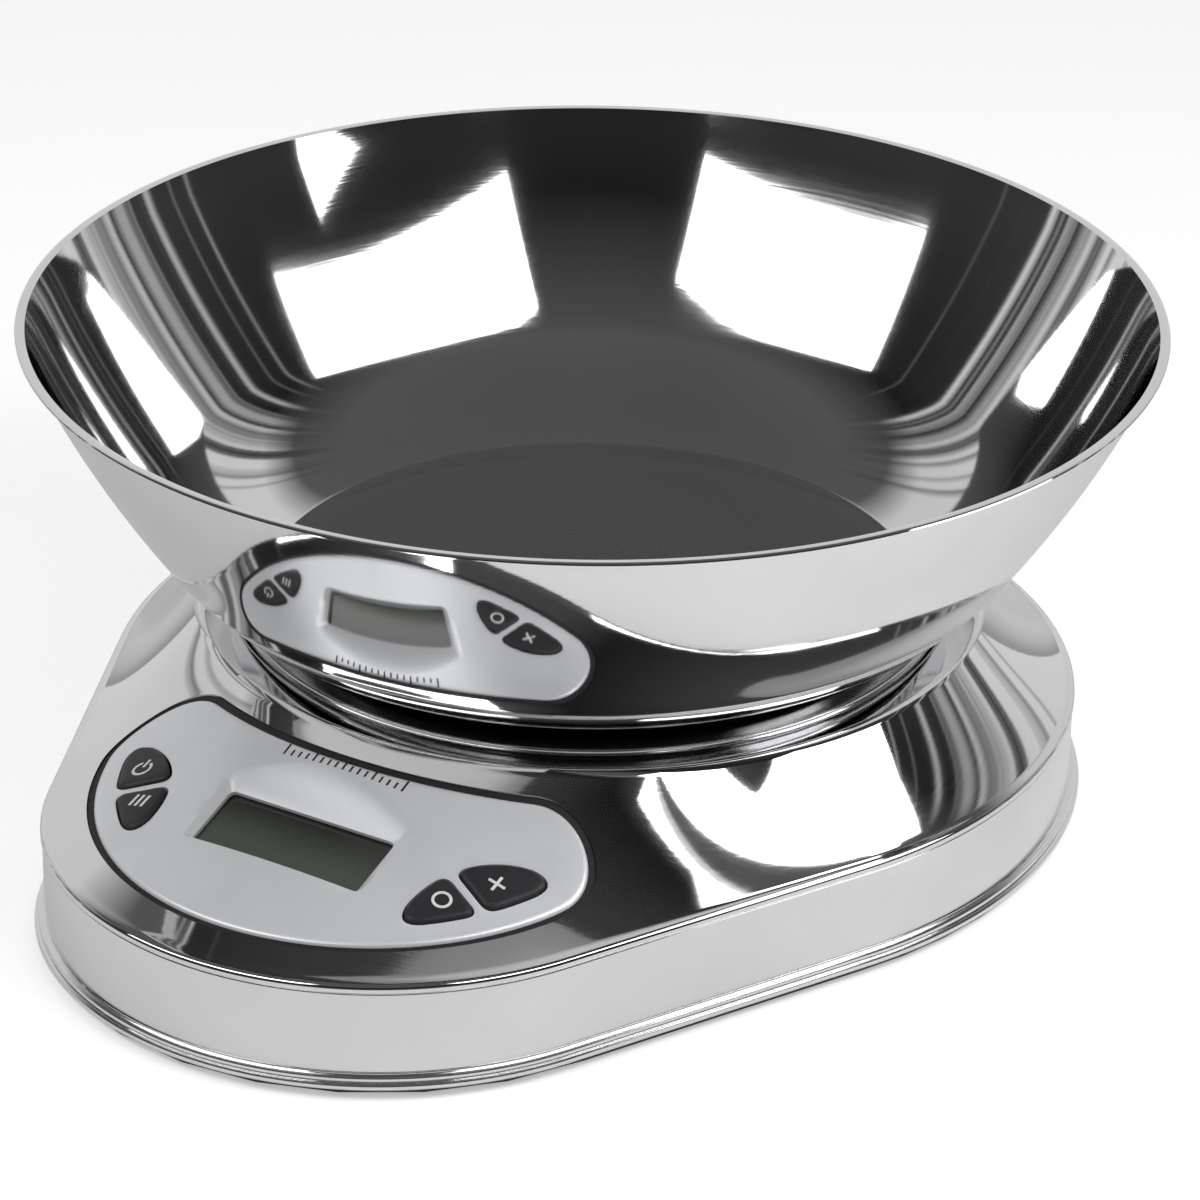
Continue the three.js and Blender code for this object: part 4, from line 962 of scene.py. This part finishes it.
def key_mesh(name, loop, material):
    centre = sum(loop, Vector((0, 0))) / len(loop)
    shares = [1.0, 1.0, 0.985, 0.96, 0.93, 0.89, 0.84, 0.76, 0.62, 0.45, 0.25]
    under = -2.4
    rings = []
    for i, share in enumerate(shares):
        ring = []
        for point in loop:
            p = centre.lerp(point, share)
            low = float(slope_height(p.x, p.y)) + under
            z = low if i == 0 else key_height(loop, p.x, p.y)
            ring.append((p.x, p.y + axis_y, z))
        rings.append(ring)
    count = len(loop)
    vertices = [v for ring in rings for v in ring]
    peak = len(vertices)
    vertices.append((centre.x, centre.y + axis_y, key_height(loop, centre.x, centre.y)))
    vertices.append((centre.x, centre.y + axis_y, float(slope_height(centre.x, centre.y)) + under))
    faces = []
    for j in range(len(rings) - 1):
        faces += between(j * count, (j + 1) * count, count)
    last = (len(rings) - 1) * count
    faces += [(last + i, last + (i + 1) % count, peak) for i in range(count)]
    faces += [((i + 1) % count, i, peak + 1) for i in range(count)]
    return closed_and_smooth(piece_from(name, vertices, faces, material), 50)


def ring_strokes(x, y, radius, start, end, steps=14):
    """A drawn arc, as one outline out along it and back."""
    out = arc(x, y, radius + symbol_line / 2, start, end, steps)
    back = arc(x, y, radius - symbol_line / 2, end, start, steps)
    return [out + back]


def key_symbols(name, x, y):
    if name == "key_left_upper":  # on and off
        gap = math.radians(30)
        return ring_strokes(x, y, 1.9, math.pi / 2 + gap, 5 * math.pi / 2 - gap) + [
            stroke(x, y + 1.6, symbol_line, 2.4)
        ]
    if name == "key_left_lower":  # change of units
        return [stroke(x + shift, y, 0.65, 3.4) for shift in (-1.4, 0, 1.4)]
    if name == "key_right_lower":  # set to zero
        return ring_strokes(x, y, 1.8, 0.02, 2 * math.pi, 24)
    reach, half = 1.9, symbol_line / 2
    arms = [(-reach, -half), (-half, -half), (-half, -reach)]
    arms += [(half, -reach), (half, -half), (reach, -half)]
    return [[(x + a, y + b) for a, b in arms + [(-a, -b) for a, b in arms]]]  # add


for name, loop in key_outlines.items():
    cap = key_mesh(name + "_cap", loop, key_rubber)
    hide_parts(name)
    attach(cap, name)
    centre = sum(loop, Vector((0, 0))) / len(loop)
    symbol = printed(
        name + "_symbol",
        key_symbols(name, centre.x, centre.y),
        lambda x, y, loop=loop: key_height(loop, x, y),
        0.05,
        white_ink,
    )
    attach(symbol, name)


# ---------------------------------------------------------------- base, door and inside parts
# The base is a black moulding with the battery bay in it, closed by a door under the nose and
# held by six screws. It carries the load cell, and the frame that stiffens the steel shell.
# What is sealed inside keeps its plain shape and gets the finish of its own material.

black_plastic = moulded("black_plastic", (0.016, 0.016, 0.017), (0.028, 0.028, 0.029), 0.42, 0.62)
dress(["base_cover", "battery_door", "shell_frame", "platform_carrier", "lcd_holder"], black_plastic)

foot_rubber = moulded("foot_rubber", (0.035, 0.035, 0.037), (0.06, 0.06, 0.06), 0.65, 0.85, 1800.0, 0.12)


def all_named(start):
    return [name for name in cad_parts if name.startswith(start)]


dress(all_named("foot_"), foot_rubber)


def metal(name, bright, dull, rough_low, rough_high, stretch):
    """Plated or milled metal: grain drawn out along one axis."""
    material, tree, surface, place = new_material(name)
    drawn = node(tree, "ShaderNodeMapping", {"Vector": place})
    drawn.inputs["Scale"].default_value = stretch
    grain = node(tree, "ShaderNodeTexNoise", {"Vector": drawn.outputs[0], "Scale": 1.0, "Detail": 3.0})
    tree.links.new(mixed(tree, grain.outputs[0], bright, dull), surface.inputs["Base Color"])
    tree.links.new(ranged(tree, grain.outputs[0], rough_low, rough_high), surface.inputs["Roughness"])
    surface.inputs["Metallic"].default_value = 1.0
    bumped(tree, surface, grain.outputs[0], 0.08)
    return material


zinc = metal("zinc_steel", (0.6, 0.61, 0.62), (0.48, 0.49, 0.5), 0.25, 0.4, (900, 900, 900))
dress([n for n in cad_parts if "screw" in n or n.endswith("spacer")], zinc)
milled = metal("bar_aluminium", (0.75, 0.76, 0.78), (0.62, 0.63, 0.65), 0.25, 0.4, (1500, 60, 1500))
dress(["load_cell"], milled)
nickel = metal("contact_nickel", (0.75, 0.75, 0.73), (0.62, 0.62, 0.6), 0.12, 0.25, (600, 600, 600))
dress(all_named("battery_contact"), nickel)

silicone = moulded("gauge_coating", (0.78, 0.78, 0.75), (0.65, 0.65, 0.62), 0.35, 0.5, 800.0, 0.1)
dress(["strain_gauge_coating", "zebra_strip_front", "zebra_strip_rear"], silicone)
laminate = moulded("board_laminate", (0.02, 0.12, 0.05), (0.03, 0.16, 0.07), 0.25, 0.4, 1200.0, 0.08)
dress(["main_board"], laminate)
epoxy = moulded("chip_epoxy", (0.012, 0.012, 0.013), (0.03, 0.03, 0.03), 0.3, 0.45, 4000.0, 0.08)
dress(["controller_chip", *all_named("switch_")], epoxy)
sleeve = moulded("battery_skin", (0.04, 0.11, 0.25), (0.07, 0.15, 0.3), 0.25, 0.35, 700.0, 0.02, 0.3)
dress(["battery_rear", "battery_front"], sleeve)
for name, colour in (("grey", (0.14, 0.15, 0.16)), ("red", (0.4, 0.02, 0.02)), ("black", (0.02, 0.02, 0.02))):
    cable = moulded("lead_" + name, colour, tuple(1.3 * c for c in colour), 0.4, 0.55, 1500.0, 0.05)
    dress(["load_cell_lead" if name == "grey" else "battery_lead_" + name], cable)


# ---------------------------------------------------------------- studio
# A plain pale table, a large soft box on each side of the camera and a small low one on the
# right. The room behind the camera is dark, so that polished steel has something to mirror.

camera_target = Vector((-11.86, 37.82, 28.19)) * MM
camera_azimuth, camera_elevation, camera_roll = (math.radians(a) for a in (32.09, 26.39, 0.65))
camera_distance = 1.1551
aimed_height = 0.09


def way_to(azimuth, elevation):
    level = math.cos(elevation)
    return Vector((math.sin(azimuth) * level, -math.cos(azimuth) * level, math.sin(elevation)))


back = way_to(camera_azimuth, camera_elevation)
right = Vector((math.cos(camera_azimuth), math.sin(camera_azimuth), 0))
up = back.cross(right)
rolled_right = right * math.cos(camera_roll) + up * math.sin(camera_roll)
rolled_up = up * math.cos(camera_roll) - right * math.sin(camera_roll)
camera = bpy.data.objects.new("camera", bpy.data.cameras.new("camera"))
camera.data.lens = 157.8
camera.data.sensor_width = 36
turned_to = Matrix((rolled_right, rolled_up, back)).transposed().to_4x4()
camera.matrix_world = Matrix.Translation(camera_target + back * camera_distance) @ turned_to
camera.data.clip_start = 0.01
bpy.context.scene.collection.objects.link(camera)
bpy.context.scene.camera = camera


def soft_box(name, azimuth, elevation, distance, across, up, width, height, roll, radiance):
    """A light on a plane that faces the bowl: angles from the camera, then the shift on it."""
    light = bpy.data.lights.new(name, "AREA")
    light.shape = "RECTANGLE"
    light.size, light.size_y = width, height
    light.energy = radiance * math.pi * width * height
    lamp = bpy.data.objects.new(name, light)
    away = way_to(camera_azimuth + math.radians(azimuth), math.radians(elevation))
    centre = Vector((0, axis_y * MM, aimed_height))
    facing = away.to_track_quat("Z", "Y").to_matrix().to_4x4()
    lean = Matrix.Rotation(math.radians(roll), 4, "Z")
    shift = Matrix.Translation((across, up, distance))
    lamp.matrix_world = Matrix.Translation(centre) @ facing @ shift @ lean
    bpy.context.scene.collection.objects.link(lamp)


soft_box("box_right", 50, 37, 0.7, 0.1, 0.095, 0.74, 0.18, -5.6, 5.0)
soft_box("box_left", -52, 33, 0.7, -0.087, 0.084, 0.67, 0.16, 8.1, 5.0)
soft_box("box_low", 75, 20, 0.3, -0.052, 0.009, 0.15, 0.14, 0, 3.0)

table_material, table_tree, table_surface, table_place = new_material("table_paper")
paper = node(table_tree, "ShaderNodeTexNoise", {"Vector": table_place, "Scale": 6.0})
paper_tone = mixed(table_tree, paper.outputs[0], (0.86, 0.86, 0.86), (0.88, 0.88, 0.88))
table_tree.links.new(paper_tone, table_surface.inputs["Base Color"])
table_surface.inputs["Roughness"].default_value = 0.9
table_surface.inputs["Emission Color"].default_value = (1, 1, 1, 1)
lit_for_camera = node(table_tree, "ShaderNodeLightPath").outputs["Is Camera Ray"]
table_glow = 0.42
glow = maths(table_tree, "MULTIPLY", lit_for_camera, table_glow)
table_tree.links.new(glow, table_surface.inputs["Emission Strength"])
table_half = 6000.0
table_corners = [(-1, -1), (1, -1), (1, 1), (-1, 1)]
table = piece_from(
    "table", [(x * table_half, y * table_half, 0.0) for x, y in table_corners], [(0, 1, 2, 3)], table_material
)

world = bpy.data.worlds.new("studio")
bpy.context.scene.world = world
world.use_nodes = True
sky = world.node_tree
sky.nodes.clear()
direction = sky.nodes.new("ShaderNodeTexCoord").outputs["Generated"]
turned_sky = node(sky, "ShaderNodeVectorRotate", {"Vector": direction}, rotation_type="Z_AXIS")
turned_sky.inputs["Angle"].default_value = -camera_azimuth
sky_x, sky_y, sky_z = node(sky, "ShaderNodeSeparateXYZ", {0: turned_sky.outputs[0]}).outputs
around = maths(sky, "ARCTAN2", sky_x, maths(sky, "MULTIPLY", sky_y, -1.0))


def sky_ramp(stops):
    ramp = node(sky, "ShaderNodeValToRGB", {0: sky_z})
    elements = ramp.color_ramp.elements
    elements[0].position, elements[1].position = stops[0][0], stops[-1][0]
    for stop, (_, value) in ((elements[0], stops[0]), (elements[1], stops[-1])):
        stop.color = (value, value, value, 1)
    for position, value in stops[1:-1]:
        elements.new(position).color = (value, value, value, 1)
    return ramp.outputs[0]


backdrop = sky_ramp([(0.0, 0.72), (0.58, 0.66), (0.68, 0.1), (1.0, 0.09)])
dark_room = sky_ramp([(0.0, 0.06), (0.4, 0.025), (0.57, 0.013), (0.66, 0.045), (0.8, 0.1), (1.0, 0.09)])
bands = node(sky, "ShaderNodeTexNoise", {"W": maths(sky, "MULTIPLY", around, 3.0)}, noise_dimensions="1D")
shift = maths(sky, "MULTIPLY", maths(sky, "SUBTRACT", bands.outputs[0], 0.5), 1.5)
spread = maths(sky, "ADD", maths(sky, "ABSOLUTE", around), shift)
behind = node(sky, "ShaderNodeMapRange", {0: spread, 1: 1.85, 2: 2.4}).outputs[0]
room_tone = node(sky, "ShaderNodeMix", {0: behind, 6: dark_room, 7: backdrop}, data_type="RGBA")
room = node(sky, "ShaderNodeBackground", {0: room_tone.outputs[2]}).outputs[0]
fill = node(sky, "ShaderNodeBackground", {0: (1, 1, 1, 1), 1: 0.38}).outputs[0]
pale = node(sky, "ShaderNodeBackground", {0: (1, 1, 1, 1)}).outputs[0]
path = node(sky, "ShaderNodeLightPath").outputs
lit = node(sky, "ShaderNodeMixShader", {0: path["Is Diffuse Ray"], 1: room, 2: fill}).outputs[0]
either = node(sky, "ShaderNodeMixShader", {0: path["Is Camera Ray"], 1: lit, 2: pale}).outputs[0]
sky_out = sky.nodes.new("ShaderNodeOutputWorld")
sky.links.new(either, sky_out.inputs[0])
bpy.context.scene.view_settings.view_transform = "Standard"
